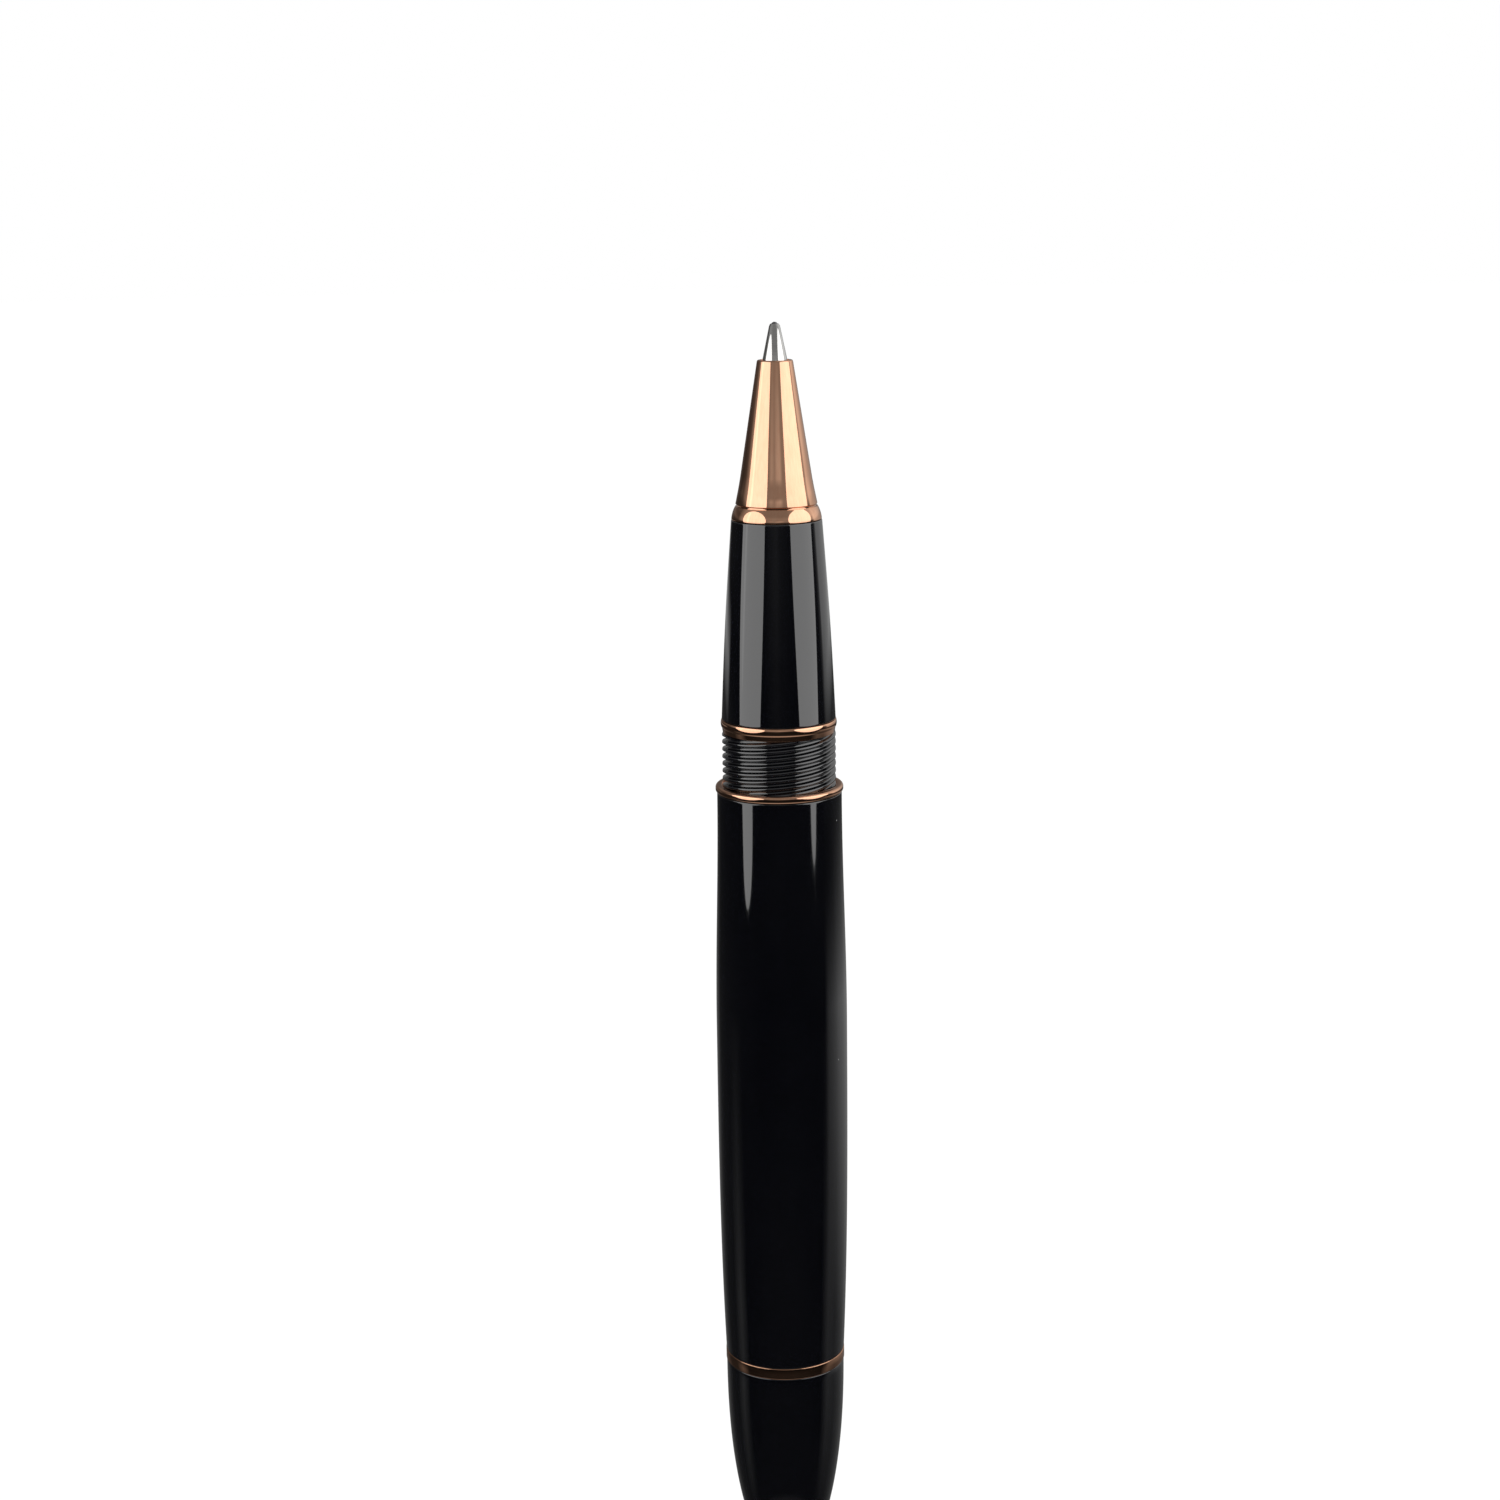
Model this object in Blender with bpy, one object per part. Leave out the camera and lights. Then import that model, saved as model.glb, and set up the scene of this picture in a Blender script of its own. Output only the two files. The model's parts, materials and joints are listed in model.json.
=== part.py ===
"""A rollerball pen, uncapped, with its tip up, as an assembly of turned pieces.

Sizes are in millimetres and become metres where a mesh is made. Heights run along the pen's axis,
+Z towards the tip, from the place where the fingers hold the barrel. Outlines are lists of
(radius, height) points that are turned about that axis.
"""

import math
from collections import namedtuple

import bmesh
import bpy

METRES = 0.001
MERGE_DISTANCE = 1e-7
SHARP_ANGLE = math.radians(30)

# Facets
SIDES = 32
INNER_SIDES = 24
ARC_STEPS = 3
CURVE_STEPS = 10
SPRING_POINTS_PER_TURN = 10
BALL_SIDES = 16
BALL_RINGS = 8

# Clearances
SEAT_GAP = 0.05
GLUE_GAP = 0.08
RUN_GAP = 0.15
BALL_GAP = 0.03
STOP_GAP = 0.1

# Barrel, measured from the hold
BARREL_FRONT_REACH = 27.6
BARREL_REAR_REACH = 30.55
BULGE_HEIGHT = 4.0
BARREL_STEP = 0.55
BARREL_SWELL = 0.4
BARREL_DROOP = 0.5
DROOP_POWER = 3

# Rings
BARREL_RING_HEIGHT = 0.7
SECTION_RING_HEIGHT = 1.25
SECTION_RING_STEP_HEIGHT = 0.53
SECTION_RING_STEP_TAPER = 0.1
TAIL_RING_HEIGHT = 1.1
BARREL_RING_STAND = 0.15
SECTION_RING_STAND = 0.1
TAIL_RING_STAND = 0.03
RING_ROUND = 0.2
BARREL_RING_RECESS = 0.1

# Cap thread on the collar
COLLAR_LENGTH = 5.25
COLLAR_SPIGOT_LENGTH = 5.5
COLLAR_WALL = 0.52
CAP_THREAD_DEPTH = 0.35
CAP_THREAD_PITCH = 0.72
CAP_THREAD_STARTS = 4
CAP_THREAD_CREST = 0.2
CAP_THREAD_FLANK = 0.14

# Joint thread between section and barrel
JOINT_PITCH = 0.75
JOINT_DEPTH = 0.45
JOINT_CREST = 0.1
JOINT_FLANK = 0.24
JOINT_ENGAGEMENT = 4.5
NIPPLE_WALL = 0.5
NIPPLE_NECK_RELIEF = 0.15
NIPPLE_SEAT_LENGTH = 6.0
BUSH_WALL = 0.35
BUSH_FLOOR = 0.4

# Grip section
SECTION_LENGTH = 19.4
SECTION_FRONT_WALL = 0.67
SECTION_SWELL = 0.06

# Nose cone
CONE_BASE_HEIGHT = 1.25
CONE_LENGTH = 13.85
CONE_LIP = 0.37
CONE_LIP_ROUND = 0.2
CONE_WALL = 0.65
CONE_BASE_SETBACK = 0.06
CONE_FLARE = 0.12
CONE_FLARE_HEIGHT = 1.9
CONE_SHOULDER_WIDTH = 0.42
CONE_SHOULDER_STRETCH = 2.3
CONE_GROOVE_DEPTH = 0.12
CONE_GROOVE_HEIGHT = 0.25
CONE_SHANK_WALL = 0.5
CONE_SHANK_LENGTH = 5.0
CONE_MOUTH_LENGTH = 5.7

# Refill
REFILL_DIAMETER = 6.0
REFILL_PLAY = 0.3
TUBE_WALL = 0.28
BALL_DIAMETER = 0.7
POINT_LIP_WALL = 0.14
POINT_SHANK_DIAMETER = 2.36
POINT_GRIP_LENGTH = 5.9
TIP_PROJECTION = 3.55
LIP_OVER_CENTRE = 0.17
THROAT_DIAMETER = 0.3
THROAT_LENGTH = 0.6
NECK_WALL = 0.39
NECK_PLAY = 0.3
NECK_SHOULDER_DROP = 1.55
NECK_FLANGE_HEIGHT = 1.0
NECK_SPIGOT_LENGTH = 4.0
FEED_DIAMETER = 0.8
FEED_DEPTH = 6.0
PLUG_LENGTH = 4.5

# Tail and spring
TAIL_LENGTH = 23.25
TAIL_POWER = 2.2
TAIL_FLOOR = 6.3
SLEEVE_GRIP = 6.0
SLEEVE_WALL = 1.2
SPRING_LENGTH = 9.6
SPRING_WIRE = 0.5
SPRING_TURNS = 5.5
SPRING_PLAY = 0.45
SPRING_SEAT_THICKNESS = 1.3
SPRING_PEG_HEIGHT = 2.5

# Radii, worked out from the refill to the outside
refill_radius = REFILL_DIAMETER / 2
tube_bore = refill_radius - TUBE_WALL
guide_bore = refill_radius + RUN_GAP
barrel_bore = refill_radius + REFILL_PLAY
nipple_root = guide_bore + NIPPLE_WALL
nipple_crest = nipple_root + JOINT_DEPTH
nipple_plain = nipple_crest - NIPPLE_NECK_RELIEF
bush_outside = nipple_crest + RUN_GAP + BUSH_WALL
collar_bore = bush_outside + GLUE_GAP
collar_root = collar_bore + COLLAR_WALL
collar_crest = collar_root + CAP_THREAD_DEPTH
collar_spigot = collar_root - SEAT_GAP
barrel_front_radius = collar_crest + BARREL_STEP
barrel_radius = barrel_front_radius + BARREL_SWELL
barrel_rear_radius = barrel_radius - BARREL_DROOP
sleeve_outside = barrel_bore + SLEEVE_WALL
cone_shank_outside = guide_bore + CONE_SHANK_WALL
section_front_radius = cone_shank_outside + GLUE_GAP + SECTION_FRONT_WALL
section_rear_radius = collar_crest
cone_base_radius = section_front_radius - CONE_BASE_SETBACK
cone_foot_radius = guide_bore + CONE_WALL
ball_radius = BALL_DIAMETER / 2
point_shank = POINT_SHANK_DIAMETER / 2
point_tip = ball_radius + BALL_GAP + POINT_LIP_WALL
cone_mouth = point_shank + RUN_GAP
cone_top_radius = cone_mouth + CONE_LIP
neck_front_radius = point_shank + GLUE_GAP + NECK_WALL
feed_radius = FEED_DIAMETER / 2
feed_bore = feed_radius + GLUE_GAP
spring_outside = barrel_bore - SPRING_PLAY
spring_radius = spring_outside - SPRING_WIRE / 2
seal_inside = nipple_crest + RUN_GAP
seal_thickness = collar_bore - GLUE_GAP / 2 - seal_inside

# Heights, stacked upwards from the hold
barrel_front = BARREL_FRONT_REACH
barrel_ring_bottom = barrel_front + SEAT_GAP
barrel_ring_top = barrel_ring_bottom + BARREL_RING_HEIGHT
collar_shoulder = barrel_ring_top - BARREL_RING_RECESS + SEAT_GAP
collar_top = collar_shoulder + COLLAR_LENGTH
section_ring_bottom = collar_top + SEAT_GAP
section_ring_top = section_ring_bottom + SECTION_RING_HEIGHT
section_rear = section_ring_top + SEAT_GAP
section_front = section_rear + SECTION_LENGTH
cone_bottom = section_front + SEAT_GAP
cone_groove = cone_bottom + CONE_BASE_HEIGHT
cone_top = cone_groove + CONE_LENGTH
cone_stop = cone_top - CONE_MOUTH_LENGTH
tip_top = cone_top + TIP_PROJECTION
ball_centre = tip_top - ball_radius
bush_top = collar_top - seal_thickness - 2 * SEAT_GAP
nipple_bottom = bush_top - JOINT_ENGAGEMENT
nipple_top = section_rear + NIPPLE_SEAT_LENGTH
bush_bottom = nipple_bottom - BUSH_FLOOR
collar_bottom = barrel_front - COLLAR_SPIGOT_LENGTH
neck_front = cone_stop - STOP_GAP
neck_shoulder = cone_groove - NECK_SHOULDER_DROP
tube_front = neck_shoulder - NECK_FLANGE_HEIGHT - SEAT_GAP
neck_bottom = tube_front - NECK_SPIGOT_LENGTH
point_bottom = neck_front - POINT_GRIP_LENGTH

# Heights, stacked downwards from the hold
barrel_rear = -BARREL_REAR_REACH
tail_ring_top = barrel_rear - SEAT_GAP
tail_ring_bottom = tail_ring_top - TAIL_RING_HEIGHT
tail_front = tail_ring_bottom - SEAT_GAP
tail_end = tail_front - TAIL_LENGTH
tail_bore_floor = tail_end + TAIL_FLOOR
sleeve_top = barrel_rear + SLEEVE_GRIP
sleeve_bottom = tail_front - SLEEVE_GRIP
spring_seat_bottom = tail_bore_floor + SEAT_GAP
spring_seat_top = spring_seat_bottom + SPRING_SEAT_THICKNESS
refill_rear = spring_seat_top + SPRING_LENGTH
plug_top = refill_rear + PLUG_LENGTH

Finish = namedtuple("Finish", "colour metallic roughness")
BLACK_RESIN = Finish((0.010, 0.010, 0.012), 0.0, 0.10)
ROSE_GOLD = Finish((0.83, 0.57, 0.40), 1.0, 0.12)
STEEL = Finish((0.62, 0.62, 0.61), 1.0, 0.18)
CARBIDE = Finish((0.20, 0.20, 0.21), 1.0, 0.15)
BRASS = Finish((0.72, 0.56, 0.28), 1.0, 0.30)
NECK_PLASTIC = Finish((0.03, 0.03, 0.035), 0.0, 0.45)
TUBE_METAL = Finish((0.55, 0.56, 0.58), 1.0, 0.35)
FIBRE = Finish((0.05, 0.07, 0.20), 0.0, 0.95)
SEAT_PLASTIC = Finish((0.75, 0.75, 0.72), 0.0, 0.50)
RUBBER = Finish((0.02, 0.02, 0.02), 0.0, 0.80)
SPRING_STEEL = Finish((0.50, 0.50, 0.50), 1.0, 0.30)

Thread = namedtuple("Thread", "root crest pitch starts crest_flat flank")
CORNERS_PER_CREST = 4


def clear_scene():
    """Remove every object that the file opened with."""
    for old in list(bpy.data.objects):
        bpy.data.objects.remove(old, do_unlink=True)


def material_of(name, finish):
    """A Principled material for one piece."""
    material = bpy.data.materials.new(name + "_finish")
    material.use_nodes = True
    shader = material.node_tree.nodes["Principled BSDF"]
    shader.inputs["Base Color"].default_value = (*finish.colour, 1.0)
    shader.inputs["Metallic"].default_value = finish.metallic
    shader.inputs["Roughness"].default_value = finish.roughness
    return material


def axis_empty(name, parent=None):
    """An empty on the pen's axis that carries the pieces of one moving body."""
    empty = bpy.data.objects.new(name, None)
    bpy.context.scene.collection.objects.link(empty)
    empty.parent = parent
    return empty


def add_piece(name, shape, finish, parent):
    """Turn a finished bmesh into a named, smooth-shaded object."""
    bmesh.ops.recalc_face_normals(shape, faces=shape.faces)
    mesh = bpy.data.meshes.new(name)
    shape.to_mesh(mesh)
    shape.free()
    mesh.shade_smooth()
    mesh.set_sharp_from_angle(angle=SHARP_ANGLE)
    mesh.materials.append(material_of(name, finish))
    piece = bpy.data.objects.new(name, mesh)
    bpy.context.scene.collection.objects.link(piece)
    piece.parent = parent
    return piece


def stations(first, last, steps=CURVE_STEPS):
    """Evenly spaced heights from first to last, both included."""
    return [first + (last - first) * step / steps for step in range(steps + 1)]


def arc(radius, height, size, first, last, stretch=1.0):
    """Points on an arc about (radius, height), with angles in degrees from the outward direction.

    A stretch makes the arc part of an ellipse, that many times as tall as it is wide.
    """
    angles = [math.radians(angle) for angle in stations(first, last, ARC_STEPS)]
    return [(radius + size * math.cos(a), height + size * stretch * math.sin(a)) for a in angles]


def turned(name, outline, finish, parent, sides=SIDES):
    """Turn an outline about the axis. One that starts and ends on the axis is a solid, any other a tube."""
    shape = bmesh.new()
    corners = [shape.verts.new((radius * METRES, 0, height * METRES)) for radius, height in outline]
    edges = [shape.edges.new(pair) for pair in zip(corners, corners[1:])]
    if outline[0][0] > 0:
        edges.append(shape.edges.new((corners[-1], corners[0])))
    bmesh.ops.spin(
        shape,
        geom=corners + edges,
        axis=(0, 0, 1),
        cent=(0, 0, 0),
        angle=math.tau,
        steps=sides,
        use_merge=True,
    )
    bmesh.ops.remove_doubles(shape, verts=shape.verts, dist=MERGE_DISTANCE)
    return add_piece(name, shape, finish, parent)


def thread_radius(thread, phase):
    """The wall's radius at a share of a pitch from the middle of a crest."""
    from_crest = abs((phase + 0.5) % 1.0 - 0.5) * thread.pitch
    down_flank = (from_crest - thread.crest_flat / 2) / thread.flank
    return thread.crest + (thread.root - thread.crest) * min(max(down_flank, 0.0), 1.0)


def thread_column(shape, thread, turn, bottom, top):
    """The vertices of a threaded wall at one share of a turn, from bottom to top.

    Corners of the profile that fall past either end all become the one vertex on that end.
    """
    angle = turn * math.tau

    def vertex(height):
        phase = (height - bottom) / thread.pitch - turn * thread.starts
        radius = thread_radius(thread, phase) * METRES
        return shape.verts.new((radius * math.cos(angle), radius * math.sin(angle), height * METRES))

    half_crest = thread.crest_flat / 2 / thread.pitch
    flank = thread.flank / thread.pitch
    corners = (-half_crest - flank, -half_crest, half_crest, half_crest + flank)
    pitches = math.ceil((top - bottom) / thread.pitch) + thread.starts + 2
    lowest, highest = vertex(bottom), vertex(top)
    column = []
    for crest in range(-thread.starts - 2, pitches):
        for corner in corners:
            height = bottom + (crest + corner + turn * thread.starts) * thread.pitch
            if height <= bottom + MERGE_DISTANCE / METRES:
                column.append(lowest)
            elif height >= top - MERGE_DISTANCE / METRES:
                column.append(highest)
            else:
                column.append(vertex(height))
    return column


def join_columns(shape, left, right):
    """Fill the wall between two columns, leaving out faces that the ends close up."""
    for low in range(len(left) - 1):
        around = (left[low], right[low], right[low + 1], left[low + 1])
        corners = list(dict.fromkeys(around))
        if len(corners) > 2:
            shape.faces.new(corners)


def join_rings(shape, lower, upper):
    """Fill the wall between two rings of as many vertices."""
    for side in range(len(lower)):
        shape.faces.new((lower[side - 1], lower[side], upper[side], upper[side - 1]))


def threaded(name, thread, bottom, top, plain, finish, parent, sides=INNER_SIDES):
    """A tube with a thread from bottom to top. The plain outline runs from the thread's top to its bottom."""
    shape = bmesh.new()
    columns = [thread_column(shape, thread, side / sides, bottom, top) for side in range(sides)]
    for side in range(sides - 1):
        join_columns(shape, columns[side], columns[side + 1])
    rise = thread.starts * CORNERS_PER_CREST
    seam = columns[0][rise:] + [columns[0][-1]] * rise
    join_columns(shape, columns[-1], seam)
    rings = [[column[-1] for column in columns]]
    for radius, height in plain:
        angles = [math.tau * side / sides for side in range(sides)]
        points = [(radius * math.cos(a), radius * math.sin(a), height) for a in angles]
        rings.append([shape.verts.new([value * METRES for value in point]) for point in points])
    rings.append([column[0] for column in columns])
    for lower, upper in zip(rings, rings[1:]):
        join_rings(shape, lower, upper)
    return add_piece(name, shape, finish, parent)


def barrel_outline_radius(height):
    """The barrel swells from its front to the bulge, then droops towards the tail."""
    if height > BULGE_HEIGHT:
        share = (height - BULGE_HEIGHT) / (barrel_front - BULGE_HEIGHT)
        return barrel_front_radius + BARREL_SWELL * (1 + math.cos(math.pi * share)) / 2
    share = (BULGE_HEIGHT - height) / (BULGE_HEIGHT - barrel_rear)
    return barrel_radius - BARREL_DROOP * share**DROOP_POWER


def build_barrel(parent):
    """The barrel: counterbored at the front for the collar and at the rear for the tail sleeve."""
    heights = stations(barrel_front, BULGE_HEIGHT, CURVE_STEPS // 2)
    heights += stations(BULGE_HEIGHT, barrel_rear, CURVE_STEPS // 2)[1:]
    outside = [(barrel_outline_radius(height), height) for height in heights]
    collar_pocket = collar_spigot + GLUE_GAP
    collar_pocket_floor = collar_bottom - SEAT_GAP
    sleeve_pocket = sleeve_outside + GLUE_GAP
    sleeve_pocket_floor = sleeve_top + SEAT_GAP
    inside = [
        (sleeve_pocket, barrel_rear),
        (sleeve_pocket, sleeve_pocket_floor),
        (barrel_bore, sleeve_pocket_floor),
        (barrel_bore, collar_pocket_floor),
        (collar_pocket, collar_pocket_floor),
        (collar_pocket, barrel_front),
    ]
    turned("barrel", outside + inside, BLACK_RESIN, parent)


def build_barrel_ring(parent):
    """The ring on the barrel's front face: a bead, a flat front for a cap, and a recess for the collar."""
    radius = barrel_front_radius + BARREL_RING_STAND
    bead = radius - RING_ROUND
    inside = collar_spigot + GLUE_GAP
    recess = collar_crest + GLUE_GAP
    recess_floor = barrel_ring_top - BARREL_RING_RECESS
    outline = [(inside, recess_floor), (recess, recess_floor), (recess, barrel_ring_top)]
    outline += arc(bead, barrel_ring_top - RING_ROUND, RING_ROUND, 90, 0)
    outline += arc(bead, barrel_ring_bottom + RING_ROUND, RING_ROUND, 0, -90)
    outline += [(inside, barrel_ring_bottom)]
    turned("barrel_ring", outline, ROSE_GOLD, parent)


def build_thread_collar(parent):
    """The collar: the cap thread above the ring, and a plain spigot glued into the barrel."""
    thread = Thread(
        collar_root, collar_crest, CAP_THREAD_PITCH, CAP_THREAD_STARTS, CAP_THREAD_CREST, CAP_THREAD_FLANK
    )
    plain = [
        (collar_bore, collar_top),
        (collar_bore, collar_bottom),
        (collar_spigot, collar_bottom),
        (collar_spigot, collar_shoulder),
    ]
    threaded("thread_collar", thread, collar_shoulder, collar_top, plain, BLACK_RESIN, parent, SIDES)


def joint_thread(clearance):
    """The thread between section and barrel, grown by a clearance for the bush."""
    return Thread(nipple_root + clearance, nipple_crest + clearance, JOINT_PITCH, 1, JOINT_CREST, JOINT_FLANK)


def joint_thread_start(bottom):
    """The highest whole pitch below a height, so that nipple and bush are cut in step."""
    return nipple_bottom - JOINT_PITCH * math.ceil((nipple_bottom - bottom) / JOINT_PITCH)


def build_collar_bush(parent):
    """The brass bush glued into the collar, threaded inside for the section's nipple."""
    bottom = joint_thread_start(bush_bottom)
    plain = [(bush_outside, bush_top), (bush_outside, bottom)]
    threaded("collar_bush", joint_thread(RUN_GAP), bottom, bush_top, plain, BRASS, parent)


def build_seal_ring(parent):
    """The rubber ring in the recess above the bush, around the nipple."""
    size = seal_thickness / 2
    outline = arc(seal_inside + size, bush_top + SEAT_GAP + size, size, 0, 180)
    outline += arc(seal_inside + size, bush_top + SEAT_GAP + size, size, 180, 360)[1:-1]
    turned("seal_ring", outline, RUBBER, parent, INNER_SIDES)


def build_tail(parent):
    """The tail: its ring, its cone with a blind bore for the spring, and the sleeve that joins it on."""
    ring_radius = barrel_rear_radius + TAIL_RING_STAND
    pocket = sleeve_outside + GLUE_GAP
    ring_round = RING_ROUND / 2
    ring = [(pocket, tail_ring_top)]
    ring += arc(ring_radius - ring_round, tail_ring_top - ring_round, ring_round, 90, 0)
    ring += arc(ring_radius - ring_round, tail_ring_bottom + ring_round, ring_round, 0, -90)
    ring += [(pocket, tail_ring_bottom)]
    turned("tail_ring", ring, ROSE_GOLD, parent)

    tail_front_radius = barrel_rear_radius - TAIL_RING_STAND
    shares = [math.sin(math.pi / 2 * step / CURVE_STEPS) for step in range(CURVE_STEPS)]
    outside = [
        (tail_front_radius * math.sqrt(1 - share**TAIL_POWER), tail_front - TAIL_LENGTH * share)
        for share in shares
    ]
    pocket_floor = sleeve_bottom - SEAT_GAP
    inside = [
        (0, tail_bore_floor),
        (barrel_bore, tail_bore_floor),
        (barrel_bore, pocket_floor),
        (pocket, pocket_floor),
        (pocket, tail_front),
    ]
    turned("tail_cone", inside + outside + [(0, tail_end)], BLACK_RESIN, parent)

    sleeve = [
        (sleeve_outside, sleeve_top),
        (sleeve_outside, sleeve_bottom),
        (barrel_bore, sleeve_bottom),
        (barrel_bore, sleeve_top),
    ]
    turned("tail_sleeve", sleeve, BRASS, parent, INNER_SIDES)


def build_spring_seat(parent):
    """The seat at the bottom of the tail's bore, with a peg that centres the spring."""
    edge = barrel_bore - GLUE_GAP
    peg = spring_outside - SPRING_WIRE - SPRING_PLAY
    peg_top = spring_seat_top + SPRING_PEG_HEIGHT
    outline = [
        (0, peg_top),
        (peg, peg_top),
        (peg, spring_seat_top),
        (edge, spring_seat_top),
        (edge, spring_seat_bottom),
        (0, spring_seat_bottom),
    ]
    turned("spring_seat", outline, SEAT_PLASTIC, parent, INNER_SIDES)


def spring_points():
    """Points along the spring's wire, from its seat to the refill."""
    bottom = spring_seat_top + SEAT_GAP + SPRING_WIRE / 2
    top = refill_rear - SEAT_GAP - SPRING_WIRE / 2
    steps = round(SPRING_TURNS * SPRING_POINTS_PER_TURN)
    points = []
    for step in range(steps + 1):
        angle = math.tau * SPRING_TURNS * step / steps
        height = bottom + (top - bottom) * step / steps
        points.append((spring_radius * math.cos(angle), spring_radius * math.sin(angle), height))
    return points


def least_gap(points):
    """The least free space between two turns, measured on points at least half a turn apart."""
    apart = SPRING_POINTS_PER_TURN // 2
    pairs = ((points[i], points[j]) for i in range(len(points)) for j in range(i + apart, len(points)))
    return min(math.dist(first, second) for first, second in pairs) - SPRING_WIRE


def build_spring(parent):
    """The coil spring that presses the refill forward, one unbroken round wire."""
    points = spring_points()
    curve = bpy.data.curves.new("refill_spring", "CURVE")
    curve.dimensions = "3D"
    curve.bevel_depth = SPRING_WIRE / 2 * METRES
    curve.bevel_resolution = 1
    curve.use_fill_caps = True
    wire = curve.splines.new("POLY")
    wire.points.add(len(points) - 1)
    for spot, point in zip(wire.points, points):
        spot.co = (*[value * METRES for value in point], 1.0)
    wire.use_smooth = True
    curve.materials.append(material_of("refill_spring", SPRING_STEEL))
    spring = bpy.data.objects.new("refill_spring", curve)
    bpy.context.scene.collection.objects.link(spring)
    spring.parent = parent
    print(f"refill_spring: least gap between turns {least_gap(points):.2f} mm")


def build_section_ring(parent):
    """The ring trapped loosely between the section and the nipple's thread, a bead over a tapered step."""
    radius = collar_crest + SECTION_RING_STAND
    bead = radius - RING_ROUND
    step = section_ring_bottom + SECTION_RING_STEP_HEIGHT
    inside = nipple_plain + RUN_GAP / 2
    outline = [(inside, section_ring_top)]
    outline += arc(bead, section_ring_top - RING_ROUND, RING_ROUND, 90, 0)
    outline += arc(bead, step + RING_ROUND, RING_ROUND, 0, -60)
    outline += [(collar_crest - SECTION_RING_STEP_TAPER, section_ring_bottom), (inside, section_ring_bottom)]
    turned("section_ring", outline, ROSE_GOLD, parent)


def build_grip_section(parent):
    """The grip: a slim tapered tube, counterbored for the cone's shank and for the nipple."""

    def outline_radius(height):
        share = (section_front - height) / SECTION_LENGTH
        taper = (section_rear_radius - section_front_radius) * share
        return section_front_radius + taper + SECTION_SWELL * math.sin(math.pi * share)

    outside = [(outline_radius(height), height) for height in stations(section_front, section_rear)]
    nipple_pocket = nipple_plain + GLUE_GAP
    nipple_pocket_floor = nipple_top + SEAT_GAP
    shank_pocket = cone_shank_outside + GLUE_GAP
    shank_pocket_floor = cone_bottom - CONE_SHANK_LENGTH - SEAT_GAP
    inside = [
        (nipple_pocket, section_rear),
        (nipple_pocket, nipple_pocket_floor),
        (guide_bore, nipple_pocket_floor),
        (guide_bore, shank_pocket_floor),
        (shank_pocket, shank_pocket_floor),
        (shank_pocket, section_front),
    ]
    turned("grip_section", outside + inside, BLACK_RESIN, parent)


def build_section_nipple(parent):
    """The brass nipple: plain where it is glued into the section, threaded where it enters the bush."""
    thread_top = bush_top + SEAT_GAP
    plain = [
        (nipple_plain, thread_top),
        (nipple_plain, nipple_top),
        (guide_bore, nipple_top),
        (guide_bore, nipple_bottom),
    ]
    threaded("section_nipple", joint_thread(0), nipple_bottom, thread_top, plain, BRASS, parent)


def build_nose_cone(parent):
    """The nose cone: lip, straight cone, flare, groove, rounded base ring, and a shank inside the section."""
    lip = cone_top_radius - CONE_LIP_ROUND
    groove_top = cone_groove + CONE_GROOVE_HEIGHT
    flare_share = CONE_FLARE_HEIGHT / (cone_top - CONE_LIP_ROUND - groove_top)
    flare_start = cone_foot_radius - (cone_foot_radius - cone_top_radius) * flare_share
    flare_end = cone_foot_radius + CONE_FLARE
    shoulder = cone_base_radius - CONE_SHOULDER_WIDTH
    shoulder_foot = cone_groove - CONE_SHOULDER_WIDTH * CONE_SHOULDER_STRETCH
    shank_bottom = cone_bottom - CONE_SHANK_LENGTH
    outline = [(cone_mouth, cone_top)]
    outline += arc(lip, cone_top - CONE_LIP_ROUND, CONE_LIP_ROUND, 90, 0)
    outline += [
        (flare_start, groove_top + CONE_FLARE_HEIGHT),
        (flare_end, groove_top),
        (flare_end - CONE_GROOVE_DEPTH, cone_groove),
    ]
    outline += arc(shoulder, shoulder_foot, CONE_SHOULDER_WIDTH, 90, 0, CONE_SHOULDER_STRETCH)
    outline += [
        (cone_base_radius, cone_bottom),
        (cone_shank_outside, cone_bottom),
        (cone_shank_outside, shank_bottom),
        (guide_bore, shank_bottom),
        (guide_bore, cone_groove),
        (neck_front_radius + NECK_PLAY, cone_stop),
        (cone_mouth, cone_stop),
    ]
    turned("nose_cone", outline, ROSE_GOLD, parent)


def build_tip_point(parent):
    """The steel point: a socket that wraps the ball, an ink throat, and a shank pressed into the neck."""
    lip = ball_centre + LIP_OVER_CENTRE
    lip_mouth = math.sqrt((ball_radius + BALL_GAP) ** 2 - LIP_OVER_CENTRE**2)
    cone_start = ball_centre - BALL_GAP
    throat = THROAT_DIAMETER / 2
    throat_top = ball_centre - ball_radius - BALL_GAP
    throat_bottom = throat_top - THROAT_LENGTH
    outline = [
        (lip_mouth, lip),
        (ball_radius + BALL_GAP, lip),
        (point_tip, cone_start),
        (point_shank, cone_top),
        (point_shank, point_bottom),
        (feed_bore, point_bottom),
        (feed_bore, throat_bottom),
        (throat, throat_bottom),
        (throat, throat_top),
        (ball_radius + BALL_GAP, ball_centre - ball_radius / 2),
        (ball_radius + BALL_GAP, ball_centre),
    ]
    turned("tip_point", outline, STEEL, parent, INNER_SIDES)


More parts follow.
